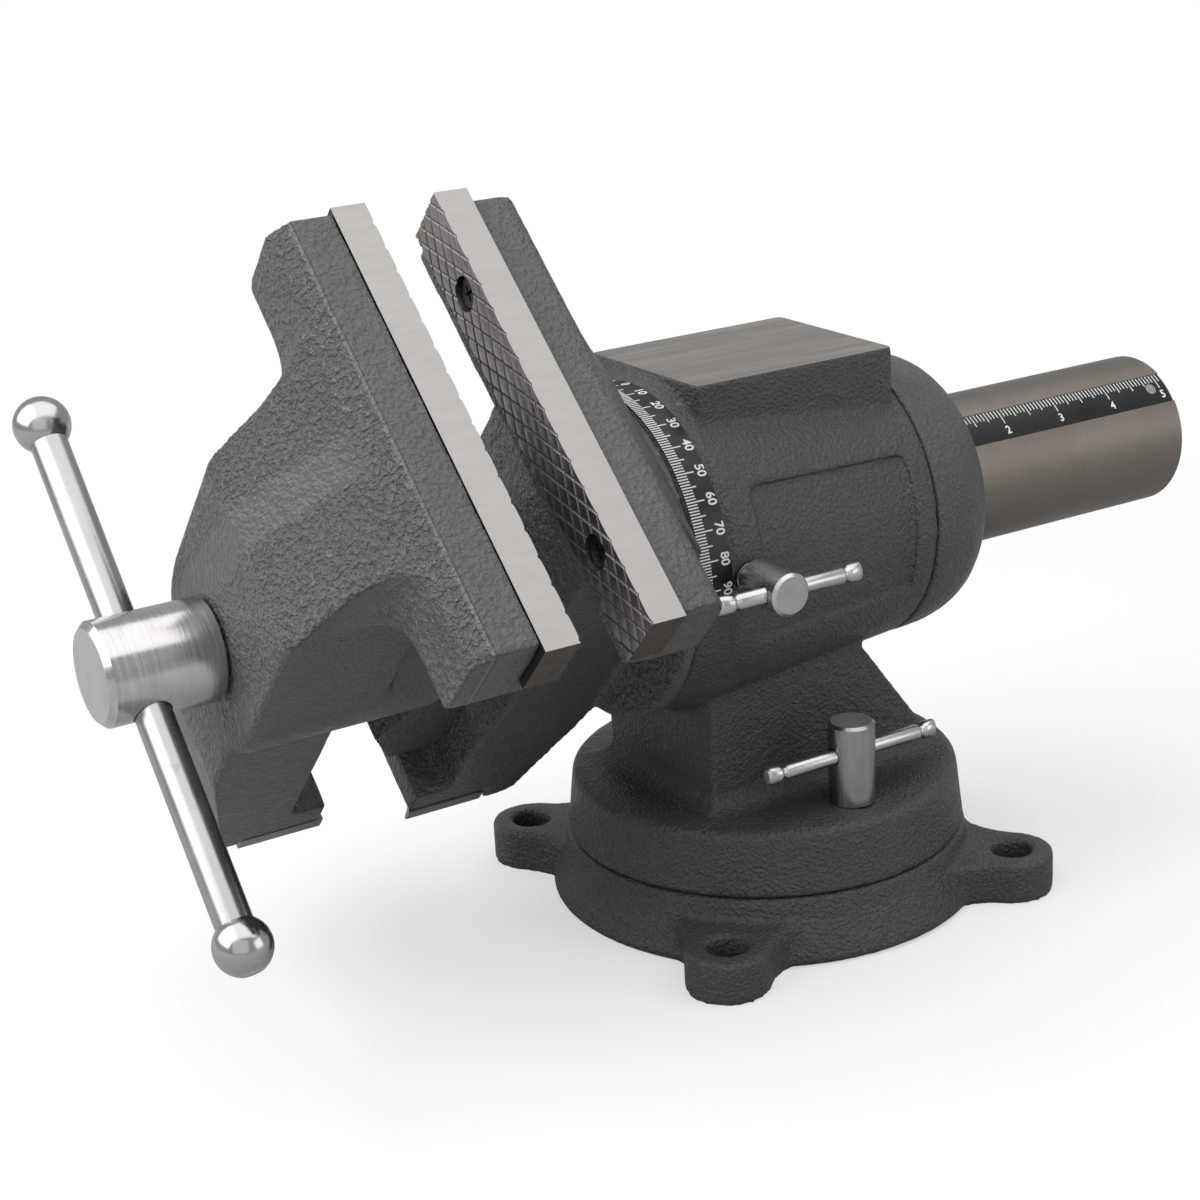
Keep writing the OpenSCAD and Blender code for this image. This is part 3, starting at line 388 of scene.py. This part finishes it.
def node_bmesh(name):
    """A copy of a CAD node's mesh with its split vertices joined."""
    bm = bmesh.new()
    bm.from_mesh(nodes[name].data)
    bmesh.ops.remove_doubles(bm, verts=bm.verts, dist=1e-6)
    return bm


def baked(bm, name, *modifiers):
    """The mesh that these modifiers make of bm."""
    mesh = bpy.data.meshes.new(name)
    bm.to_mesh(mesh)
    bm.free()
    obj = bpy.data.objects.new(name + "_raw", mesh)
    bpy.context.scene.collection.objects.link(obj)
    for kind, settings in modifiers:
        modifier = obj.modifiers.new(kind, kind)
        for key, value in settings.items():
            setattr(modifier, key, value)
    graph = bpy.context.evaluated_depsgraph_get()
    made = bpy.data.meshes.new_from_object(obj.evaluated_get(graph))
    bpy.data.objects.remove(obj)
    bpy.data.meshes.remove(mesh)
    made.name = name
    return made


# What is added over a face before it is ground, and the place of its steel among a casting's materials
STOCK = 3 * MM
GROUND_SLOT = 1


def ground(mesh, point, normal):
    """Cuts a face flat as a grinder leaves it: STOCK was added above it before the edges were rounded."""
    bm = bmesh.new()
    bm.from_mesh(mesh)
    geometry = list(bm.verts) + list(bm.edges) + list(bm.faces)
    near = [g for g in geometry if not isinstance(g, bmesh.types.BMVert)
            and any((v.co - point).dot(normal) > -STOCK * 2 for v in g.verts)]
    near += [v for v in bm.verts if (v.co - point).dot(normal) > -STOCK * 2]
    cut = bmesh.ops.bisect_plane(bm, geom=near, plane_co=point, plane_no=normal, clear_outer=True)
    rim = [e for e in cut["geom_cut"] if isinstance(e, bmesh.types.BMEdge)]
    for f in bmesh.ops.contextual_create(bm, geom=rim)["faces"]:
        f.material_index = GROUND_SLOT
        f.smooth = False
    bm.to_mesh(mesh)
    bm.free()


def roughen(mesh, size, depth, mask=None):
    """Raises and sinks a casting's skin by noise: size of its lumps and depth in mm."""
    skin = [(v.co.copy(), v.normal.copy()) for v in mesh.vertices]
    moved = []
    for place, normal in skin:
        share = 1.0 if mask is None else mask(place, normal)
        moved.extend(place + normal * (noise.noise(place / (size * MM)) * depth * MM * share))
    mesh.vertices.foreach_set("co", moved)
    mesh.update()


def jaw_skin(place, normal):
    """1 on the coarse slopes of a jaw and less on its sides."""
    turned = HEAD_BACK.to_3x3() @ normal
    return min(1.0, max(0.15, (abs(turned.y) * 0.75 + max(turned.z, 0.0) * 0.75 - 0.35) / 0.4))


def bored(mesh, radius, clear):
    """Turns a bore round again about the slide axis: its radius and the clearance over it in mm."""
    near = 0.7 * MM
    for v in mesh.vertices:
        turned = HEAD_BACK @ v.co
        r = math.hypot(turned.x, turned.z)
        if abs(r - radius * MM) < near:
            grown = (radius + clear) * MM / r
            v.co = HEAD @ Vector((turned.x * grown, turned.y, turned.z * grown))


def sink_panel(mesh, depth):
    """Sinks the rounded panel on each side of the barrel by depth in mm, over a soft step."""
    step = 0.7 * MM
    for v in mesh.vertices:
        x, y, z = v.co.x, v.co.y, v.co.z - AXIS_H
        r = math.hypot(x, z)
        if abs(x) < 20 * MM or not 48 * MM < r < 62 * MM:
            continue
        arc = (math.atan2(z, abs(x)) - PANEL_TURN) * PANEL_R
        past = math.hypot(max(abs(arc) - PANEL_ARC, 0.0), max(abs(y - PANEL_Y) - PANEL_LONG, 0.0))
        share = min(1.0, max(0.0, (PANEL_CORNER + step - past) / (2 * step)))
        v.co -= Vector((x, 0, z)) / r * (depth * MM * share)
    mesh.update()


def casting(name, body, material, voxel, smooth, lumps, ground_top=None, mask=None, bore=0.0, panel=0.0):
    """A casting with its edges rounded by voxels of that size in mm and rounds of smoothing. lumps is the
    size and depth in mm of its skin's lumps, ground_top the height of a face that is ground flat afterwards,
    bore the radius in mm of one that runs on the slide tube, and panel the depth of the barrel's panels."""
    bm = node_bmesh(name)
    if ground_top:
        for v in bm.verts:
            if abs(v.co.z - ground_top) < 0.05 * MM:
                v.co.z += STOCK
    mesh = baked(bm, name + "_cast", ("REMESH", {"mode": "VOXEL", "voxel_size": voxel * MM,
                                                 "use_smooth_shade": True}),
                 ("SMOOTH", {"factor": 0.5, "iterations": smooth}))
    roughen(mesh, *lumps, mask)
    if bore:
        bored(mesh, bore, 0.16)
    if panel:
        sink_panel(mesh, panel)
    obj = new_object(name + "_cast", mesh, body, "casting", material, ANVIL)
    if ground_top:
        ground(mesh, Vector((0, 0, ground_top)), Vector((0, 0, 1)))
    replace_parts(obj, name)


ANVIL_TOP = AXIS_H + 61.4 * MM
casting("swivel_body", "swivel", BARREL_PAINT, 1.22, 2, (5.0, 0.06), ground_top=ANVIL_TOP, panel=0.7)
casting("base_plate", "base", PAINT, 1.2, 4, (5.0, 0.06))
casting("rear_jaw", "head", JAW_PAINT, 1.3, 2, (3.0, 0.12), mask=jaw_skin, bore=28.16)
casting("front_jaw", "slide", JAW_PAINT, 1.1, 2, (3.0, 0.14), mask=jaw_skin)
casting("rear_cap", "head", CAP_PAINT, 1.0, 3, (4.0, 0.10))


# ---------------------------------------------------------------- toothed inserts
# All in mm: the diamonds' width and height, a diamond's corner in the head's frame, the area that is toothed
# before it is cut to an insert, and a groove's depth at shares of the pitch from its middle
TOOTH_W, TOOTH_U = 9.3, 9.3 * 0.617
TOOTH_AT = (3.5, 110.0)
TOOTHED_HALF, TOOTHED_LOW, TOOTHED_HIGH = 84, 85, 114
GROOVE = ((0.0, 0.62), (0.095, 0.15), (0.30, 0.03), (0.5, 0.02))


def sunk(t):
    """Depth in mm of one set of grooves, t in pitches."""
    t = abs(t - round(t))
    for (t0, d0), (t1, d1) in zip(GROOVE, GROOVE[1:]):
        if t <= t1 + 1e-6:
            return d0 + (d1 - d0) * (t - t0) / (t1 - t0)
    return GROOVE[-1][1]


def toothed(face, back):
    """A block with a crossed-groove face, wider than an insert: face is its y in mm, back the way into
    it. The knots are where the face bends, in pitches."""
    knots = [k + t for k in range(-16, 16) for t in (0.0, 0.113, 0.369, 0.631, 0.887)]
    bm = bmesh.new()
    made = {}

    def place(a, b):
        """Across and up in mm from places along the two sets of grooves in pitches."""
        return TOOTH_AT[0] + TOOTH_W * (a + b) / 2, TOOTH_AT[1] + TOOTH_U * (a - b) / 2

    def corner(a, b):
        if (a, b) not in made:
            across, up = place(a, b)
            depth = max(sunk(a), sunk(b))
            made[(a, b)] = bm.verts.new(HEAD @ (Vector((across, face + back * depth, up)) * MM))
        return made[(a, b)]

    for a0, a1 in zip(knots, knots[1:]):
        for b0, b1 in zip(knots, knots[1:]):
            across, up = place((a0 + a1) / 2, (b0 + b1) / 2)
            if abs(across) < TOOTHED_HALF and TOOTHED_LOW < up < TOOTHED_HIGH:
                bm.faces.new((corner(a0, b0), corner(a1, b0), corner(a1, b1), corner(a0, b1)))
    grown = bmesh.ops.extrude_face_region(bm, geom=list(bm.faces))["geom"]
    shift = Vector((0, back * 40 * MM, 0))
    for v in grown:
        if isinstance(v, bmesh.types.BMVert):
            v.co += shift
    bmesh.ops.recalc_face_normals(bm, faces=bm.faces)
    return bm


def tool_object(bm):
    mesh = bpy.data.meshes.new("tool")
    bm.to_mesh(mesh)
    bm.free()
    obj = bpy.data.objects.new("tool", mesh)
    bpy.context.scene.collection.objects.link(obj)
    return obj


def insert(name, body, face, back):
    tool = tool_object(toothed(face, back))
    mesh = baked(node_bmesh(name), name + "_teeth", ("BOOLEAN", {"operation": "INTERSECT", "object": tool,
                                                                 "solver": "EXACT"}))
    bpy.data.objects.remove(tool)
    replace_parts(new_object(name + "_teeth", mesh, body, "insert", INSERT), name)


# A cross recess in mm: its arms' length, twice its depth and their width, and what its bottom keeps of these
CROSS = Vector((6.4, 3.6, 1.35))
CROSS_TAPER = 0.55


def recessed_screw(name, body, back):
    """A screw whose head has a cross recess: back is the way into its hole along y."""
    bm = node_bmesh(name)
    local = [HEAD_BACK @ v.co for v in bm.verts]
    face = min(p.y * back for p in local) * back
    mid = [(min(p[k] for p in local) + max(p[k] for p in local)) / 2 for k in (0, 2)]
    arms = bmesh.new()
    for turn in (0.35, 0.35 + math.pi / 2):
        box = bmesh.ops.create_cube(arms, size=1.0)["verts"]
        for v in box:
            narrow = CROSS_TAPER if v.co.y * back > 0 else 1.0
            v.co = Vector((v.co.x * CROSS.x * narrow, v.co.y * CROSS.y, v.co.z * CROSS.z * narrow)) * MM
        spun = Matrix.Rotation(turn, 4, "Y")
        for v in box:
            v.co = HEAD @ (spun @ v.co + Vector((mid[0], face, mid[1])))
    tool = tool_object(arms)
    mesh = baked(bm, name + "_cross", ("BOOLEAN", {"operation": "DIFFERENCE", "object": tool,
                                                   "solver": "EXACT", "use_self": True}))
    bpy.data.objects.remove(tool)
    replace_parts(new_object(name + "_cross", mesh, body, "screw", SCREW), name)


insert("rear_insert", "head", REAR_FACE, 1)
insert("front_insert", "slide", FRONT_FACE, -1)
for end in ("near", "far"):
    recessed_screw("rear_insert_screw_" + end, "head", 1)
    recessed_screw("front_insert_screw_" + end, "slide", -1)


# ---------------------------------------------------------------- T-bars, threads and the CAD's own pieces
def skinned(bm, rows):
    """Faces between closed rows of corners, and over both ends."""
    count = len(rows[0])
    for a, b in zip(rows, rows[1:]):
        for k in range(count):
            bm.faces.new((a[k], a[(k + 1) % count], b[(k + 1) % count], b[k]))
    bm.faces.new(rows[0][::-1])
    bm.faces.new(rows[-1])


# A T-bar's end: distance from its tip, and its half thickness and half width there, all in mm
BAR_END = [(0.0, 1.5, 2.5), (0.25, 1.9, 3.0), (1.0, 2.35, 3.3), (4.6, 2.9, 3.15), (5.4, 2.75, 2.85),
           (5.9, 2.2, 2.2), (6.9, 2.15, 2.15), (7.4, 2.6, 2.6), (7.8, 2.75, 2.75)]
BAR_SIDES = 32


def swaged_bar(name, body):
    """A T-bar along y, with a flattened knob, a crimped neck and a shoulder at each end."""
    low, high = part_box(name)
    x, z = (low[0] + high[0]) / 2, (low[2] + high[2]) / 2
    stops = [(low[1] + s * MM, a, b) for s, a, b in BAR_END]
    stops += [(high[1] - s * MM, a, b) for s, a, b in BAR_END[::-1]]
    bm = bmesh.new()
    turns = [k * math.tau / BAR_SIDES for k in range(BAR_SIDES)]
    skinned(bm, [[bm.verts.new((x + flat * MM * math.cos(turn), y, z + wide * MM * math.sin(turn)))
                  for turn in turns] for y, flat, wide in stops])
    bmesh.ops.recalc_face_normals(bm, faces=bm.faces)
    for f in bm.faces:
        f.smooth = len(f.verts) == 4
    obj = from_bmesh(name + "_swaged", bm, body, "zinc", HARDWARE)
    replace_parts(obj, name)


def thread(name, body, start, axis, length, radius, pitch, depth):
    """A helical ridge over a shank: start and axis give its line, sizes in mm."""
    steps = 28
    side = axis.orthogonal().normalized()
    other = axis.cross(side)
    ridge = ((-pitch * 0.46, radius - 0.4), (-pitch * 0.1, radius + depth), (pitch * 0.1, radius + depth),
             (pitch * 0.46, radius - 0.4))
    bm = bmesh.new()
    rows = []
    for i in range(int(length / pitch * steps) + 1):
        turn = i * math.tau / steps
        out = side * math.cos(turn) + other * math.sin(turn)
        along = i * pitch / steps
        rows.append([bm.verts.new(start + (axis * (along + d) + out * r) * MM) for d, r in ridge])
    skinned(bm, rows)
    bmesh.ops.recalc_face_normals(bm, faces=bm.faces)
    from_bmesh(name, bm, body, "zinc", HARDWARE)


swaged_bar("lock_bar_right", "bar_right")
swaged_bar("lock_bar_left", "bar_left")
swaged_bar("head_bar", "head_lock_bar")
thread("head_bolt_thread", "head_lock", Vector((58.0, HEAD_LOCK_Y, HEAD_LOCK_Z)) * MM, Vector((1, 0, 0)),
       length=3.8, radius=5.0, pitch=1.0, depth=0.12)

FINISH = {
    PAD: ["rear_pad", "front_pad"],
    JAW_PAINT: ["rear_pipe_jaw", "front_pipe_jaw"],
    TUBE: ["slide_tube"],
    SPINDLE: ["spindle", "spindle_collar"],
    ZINC: ["handle_bar", "ruler_rivet"],
    BALL: ["handle_ball_upper", "handle_ball_lower"],
    HARDWARE: ["pivot_bolt", "pivot_washer", "lock_nut_right", "lock_nut_left"],
    LOCK_RIGHT: ["lock_bolt_right"],
    LOCK_LEFT: ["lock_bolt_left"],
    HEAD_LOCK: ["head_bolt"],
    BRASS: ["spindle_nut", "clamp_shoe"],
    SCALE: ["angle_scale", "ruler_strip"],
    SCREW: ["rear_pad_screw_near", "rear_pad_screw_far", "front_pad_screw_near", "front_pad_screw_far"],
}


def round_shading():
    """A modifier's group that shades turned faces smoothly and keeps edges over 30 degrees sharp."""
    group = bpy.data.node_groups.new("round_shading", "GeometryNodeTree")
    for side in ("INPUT", "OUTPUT"):
        group.interface.new_socket("Geometry", in_out=side, socket_type="NodeSocketGeometry")
    steps = [group.nodes.new(kind) for kind in
             ("NodeGroupInput", "GeometryNodeMergeByDistance", "GeometryNodeRemoveAttribute",
              "GeometryNodeSetShadeSmooth", "GeometryNodeSetShadeSmooth", "NodeGroupOutput")]
    for a, b in zip(steps, steps[1:]):
        group.links.new(a.outputs[0], b.inputs["Geometry"])
    steps[1].inputs["Distance"].default_value = 0.002 * MM
    steps[2].inputs["Name"].default_value = "custom_normal"
    steps[3].domain, steps[4].domain = "FACE", "EDGE"
    bend = group.nodes.new("GeometryNodeInputMeshEdgeAngle")
    gentle = group.nodes.new("FunctionNodeCompare")
    gentle.data_type, gentle.operation = "FLOAT", "LESS_THAN"
    group.links.new(bend.outputs["Unsigned Angle"], gentle.inputs[0])
    gentle.inputs[1].default_value = math.radians(30)
    group.links.new(gentle.outputs[0], steps[4].inputs["Shade Smooth"])
    return group


ROUND = round_shading()
TURNED = (TUBE, SPINDLE, ZINC, BALL, HARDWARE, LOCK_RIGHT, LOCK_LEFT, HEAD_LOCK)
for material, names in FINISH.items():
    for name in names:
        mesh = nodes[name].data
        mesh.materials.clear()
        mesh.materials.append(material)
        if material in TURNED:
            nodes[name].modifiers.new("round_shading", "NODES").node_group = ROUND


# ---------------------------------------------------------------- scale and ruler marks
# All in mm: the scale's radius as its seat, the gap under it and its thickness, the ruler's radius, an inch
# and how far a mark stands up
SCALE_R = 57.0 + 0.05 + 0.4
RULER_R = 28.1
INCH = 25.4
MARK = 0.05


def on_barrel(angle, y, lift):
    """A point over the barrel's scale: angle in degrees from +X towards +Z, y and lift in mm."""
    a, r = math.radians(angle), (SCALE_R + lift) * MM
    return Vector((r * math.cos(a), y * MM, AXIS_H + r * math.sin(a)))


def on_ruler(across, y, lift):
    """A point over the ruler: across and y in mm, across towards the jaws' near end."""
    a, r = across / RULER_R, (RULER_R + lift) * MM
    return HEAD @ Vector((r * math.sin(a), y * MM, r * math.cos(a)))


def strip(bm, place, x0, x1, y0, y1, cuts=1):
    """A thin mark from (x0, y0) to (x1, y1) on the surface that place gives, bent to it in cuts."""
    skinned(bm, [[bm.verts.new(place(x0 + (x1 - x0) * i / cuts, y, lift)) for y, lift in
                  ((y0, 0.0), (y0, MARK), (y1, MARK), (y1, 0.0))] for i in range(cuts + 1)])


def letters(bm, text, size, place):
    """Figures laid on a surface: place(u, v, lift) for u along the line, v up, both from their middle."""
    curve = bpy.data.curves.new("figures", "FONT")
    curve.body, curve.size, curve.extrude = text, size, MARK / 2
    curve.align_x, curve.align_y = "CENTER", "CENTER"
    curve.resolution_u = 4
    curve.offset = 0.022 * size
    obj = bpy.data.objects.new("figures", curve)
    bpy.context.scene.collection.objects.link(obj)
    graph = bpy.context.evaluated_depsgraph_get()
    mesh = bpy.data.meshes.new_from_object(obj.evaluated_get(graph))
    middle = (min(v.co.y for v in mesh.vertices) + max(v.co.y for v in mesh.vertices)) / 2
    centre = (min(v.co.x for v in mesh.vertices) + max(v.co.x for v in mesh.vertices)) / 2
    for v in mesh.vertices:
        v.co = place(v.co.x - centre, v.co.y - middle, v.co.z + MARK / 2)
    bm.from_mesh(mesh)
    bpy.data.objects.remove(obj)
    bpy.data.meshes.remove(mesh)
    bpy.data.curves.remove(curve)


def scale_marks():
    """A mark at each degree from the scale's front edge, longer at each 5 and 10, and figures at each 10."""
    bm = bmesh.new()
    degree = SCALE_R * math.radians(1)
    half = 0.22 / degree
    for n in range(-90, 91):
        end = -54.1 if n % 10 == 0 else -55.3 if n % 5 == 0 else -57.1
        strip(bm, lambda x, y, lift: on_barrel(90 - x, y, lift), n - half, n + half, -61.0, end)
        if n % 10 == 0:
            letters(bm, str(abs(n)), 4.6,
                    lambda u, v, lift, n=n: on_barrel(90 - n - u / degree, -51.3 + v, lift))
    bmesh.ops.recalc_face_normals(bm, faces=bm.faces)
    from_bmesh("scale_marks", bm, "swivel", "scale", INK)


def ruler_marks():
    """A mark at each sixteenth of an inch, longer at quarters, halves and inches, and figures at inches."""
    bm = bmesh.new()
    two = 98.27
    for k in range(-32, 51):
        y = two + k * INCH / 16
        if not 45 < y < 177:
            continue
        length = 6.4 if k % 16 == 0 else 5.2 if k % 8 == 0 else 4.4 if k % 4 == 0 else 3.4
        strip(bm, on_ruler, -6.1, -6.1 + length, y - 0.2, y + 0.2, cuts=3)
        if k % 16 == 0:
            letters(bm, str(2 + k // 16), 4.4, lambda u, v, lift, y=y: on_ruler(2.9 - v, y + u, lift))
    bmesh.ops.recalc_face_normals(bm, faces=bm.faces)
    from_bmesh("ruler_marks", bm, "slide", "scale", INK)


scale_marks()
ruler_marks()


# ---------------------------------------------------------------- floor, light and camera
def seen(tree, in_metal):
    """1 for rays from the camera or through glass, and in_metal for rays that metal mirrors."""
    path = tree.nodes.new("ShaderNodeLightPath")
    mirrored = tree.nodes.new("ShaderNodeMath")
    mirrored.operation = "MULTIPLY"
    tree.links.new(path.outputs["Is Glossy Ray"], mirrored.inputs[0])
    mirrored.inputs[1].default_value = in_metal
    total = mirrored.outputs[0]
    for other in ("Is Camera Ray", "Is Transmission Ray"):
        added = tree.nodes.new("ShaderNodeMath")
        added.operation = "MAXIMUM"
        tree.links.new(total, added.inputs[0])
        tree.links.new(path.outputs[other], added.inputs[1])
        total = added.outputs[0]
    return total


def backdrop():
    """A pale floor that keeps the vise's shadow and turns plain white away from it."""
    size = 6.0
    bm = bmesh.new()
    corners = ((-size, -size, 0), (size, -size, 0), (size, size, 0), (-size, size, 0))
    bm.faces.new([bm.verts.new(corner) for corner in corners])
    mesh = bpy.data.meshes.new("floor")
    bm.to_mesh(mesh)
    bm.free()
    floor = bpy.data.objects.new("floor", mesh)
    bpy.context.scene.collection.objects.link(floor)
    m = Nodes("floor_white")
    x, y, _ = m.split(m.place())
    away = m.split(m.radius(x, y, 0.0, 0.0))[0]
    m.finish(Base_Color=(FLOOR_TONE, FLOOR_TONE, FLOOR_TONE, 1.0), Roughness=0.9, Specular_IOR_Level=0.0)
    white = m.add("ShaderNodeEmission", Color=(1.0, 1.0, 1.0, 1.0), Strength=1.0)
    lift = m.add("ShaderNodeEmission", Color=(1.0, 1.0, 1.0, 1.0))
    m.put(lift.inputs["Strength"], m.math("MULTIPLY", seen(m.tree, 0.0), FLOOR_LIFT))
    near = m.tree.nodes.new("ShaderNodeAddShader")
    m.put(near.inputs[0], m.shader.outputs[0])
    m.put(near.inputs[1], lift.outputs[0])
    both = m.tree.nodes.new("ShaderNodeMixShader")
    m.put(both.inputs[0], m.math("MULTIPLY", m.span(away, *FLOOR_FADE), seen(m.tree, FLOOR_IN_METAL)))
    m.put(both.inputs[1], near.outputs[0])
    m.put(both.inputs[2], white.outputs[0])
    m.put(m.tree.nodes["Material Output"].inputs["Surface"], both.outputs[0])
    mesh.materials.append(m.material)


def world_light():
    """White where it is seen, and a faint cool fill light on the rest."""
    world = bpy.data.worlds.new("studio")
    bpy.context.scene.world = world
    world.use_nodes = True
    tree = world.node_tree
    shown = tree.nodes["Background"]
    lit = tree.nodes.new("ShaderNodeBackground")
    lit.inputs["Color"].default_value = (0.97, 0.985, 1.0, 1.0)
    lit.inputs["Strength"].default_value = WORLD
    shown.inputs["Color"].default_value = (1.0, 1.0, 1.0, 1.0)
    shown.inputs["Strength"].default_value = 1.0
    mixed = tree.nodes.new("ShaderNodeMixShader")
    tree.links.new(seen(tree, WORLD_IN_METAL), mixed.inputs[0])
    tree.links.new(lit.outputs[0], mixed.inputs[1])
    tree.links.new(shown.outputs[0], mixed.inputs[2])
    tree.links.new(mixed.outputs[0], tree.nodes["World Output"].inputs["Surface"])


def softbox(name, place, width, height, power):
    """A rectangular lamp aimed at AIM."""
    light = bpy.data.lights.new(name, "AREA")
    light.shape, light.size, light.size_y, light.energy = "RECTANGLE", width, height, power
    obj = bpy.data.objects.new(name, light)
    bpy.context.scene.collection.objects.link(obj)
    obj.location = place
    obj.rotation_mode = "QUATERNION"
    obj.rotation_quaternion = (AIM - Vector(place)).to_track_quat("-Z", "Y")


# The fitted focal length and the frame's width, both in pixels
FOCAL, FRAME = 2393.06, 1200


def camera():
    """The photograph's camera, fitted to the measured model."""
    azimuth, elevation, roll = math.radians(59.42), math.radians(19.09), math.radians(-3.11)
    back = Vector((math.sin(azimuth) * math.cos(elevation), -math.cos(azimuth) * math.cos(elevation),
                   math.sin(elevation)))
    right = Vector((math.cos(azimuth), math.sin(azimuth), 0))
    up = back.cross(right)
    side = math.cos(roll) * right + math.sin(roll) * up
    head_up = math.cos(roll) * up - math.sin(roll) * right
    data = bpy.data.cameras.new("camera")
    data.sensor_width, data.lens = 36.0, FOCAL / FRAME * 36.0
    data.clip_start, data.clip_end = 0.05, 20.0
    obj = bpy.data.objects.new("camera", data)
    bpy.context.scene.collection.objects.link(obj)
    turn = Matrix((side, head_up, back)).transposed().to_4x4()
    obj.matrix_world = Matrix.Translation(Vector((668.58, -460.84, 390.23)) * MM) @ turn
    bpy.context.scene.camera = obj


# The floor's colour, its lift towards white for the camera, the distances over which it turns plain white
# and the share of that white in metal, then the world's fill light and the share of its white in metal
FLOOR_TONE, FLOOR_LIFT, FLOOR_FADE, FLOOR_IN_METAL = 0.50, 0.52, (0.20, 0.62), 0.4
WORLD, WORLD_IN_METAL = 0.08, 0.42

# Name, place, width, height and power in W of each lamp, all aimed at one point
AIM = Vector((0, -0.03, 0.12))
SOFTBOXES = (
    ("key", (-0.35, -1.30, 1.10), 1.9, 1.5, 24.0),
    ("top", (0.10, -0.05, 1.25), 2.2, 1.6, 15.5),
    ("side", (1.35, -0.95, 0.80), 1.8, 1.5, 4.5),
    ("right", (1.30, 0.95, 0.55), 1.0, 0.9, 4.3),
)
backdrop()
world_light()
camera()
for name, place, width, height, power in SOFTBOXES:
    softbox(name, place, width, height, power)
bpy.context.scene.view_settings.view_transform = "Standard"
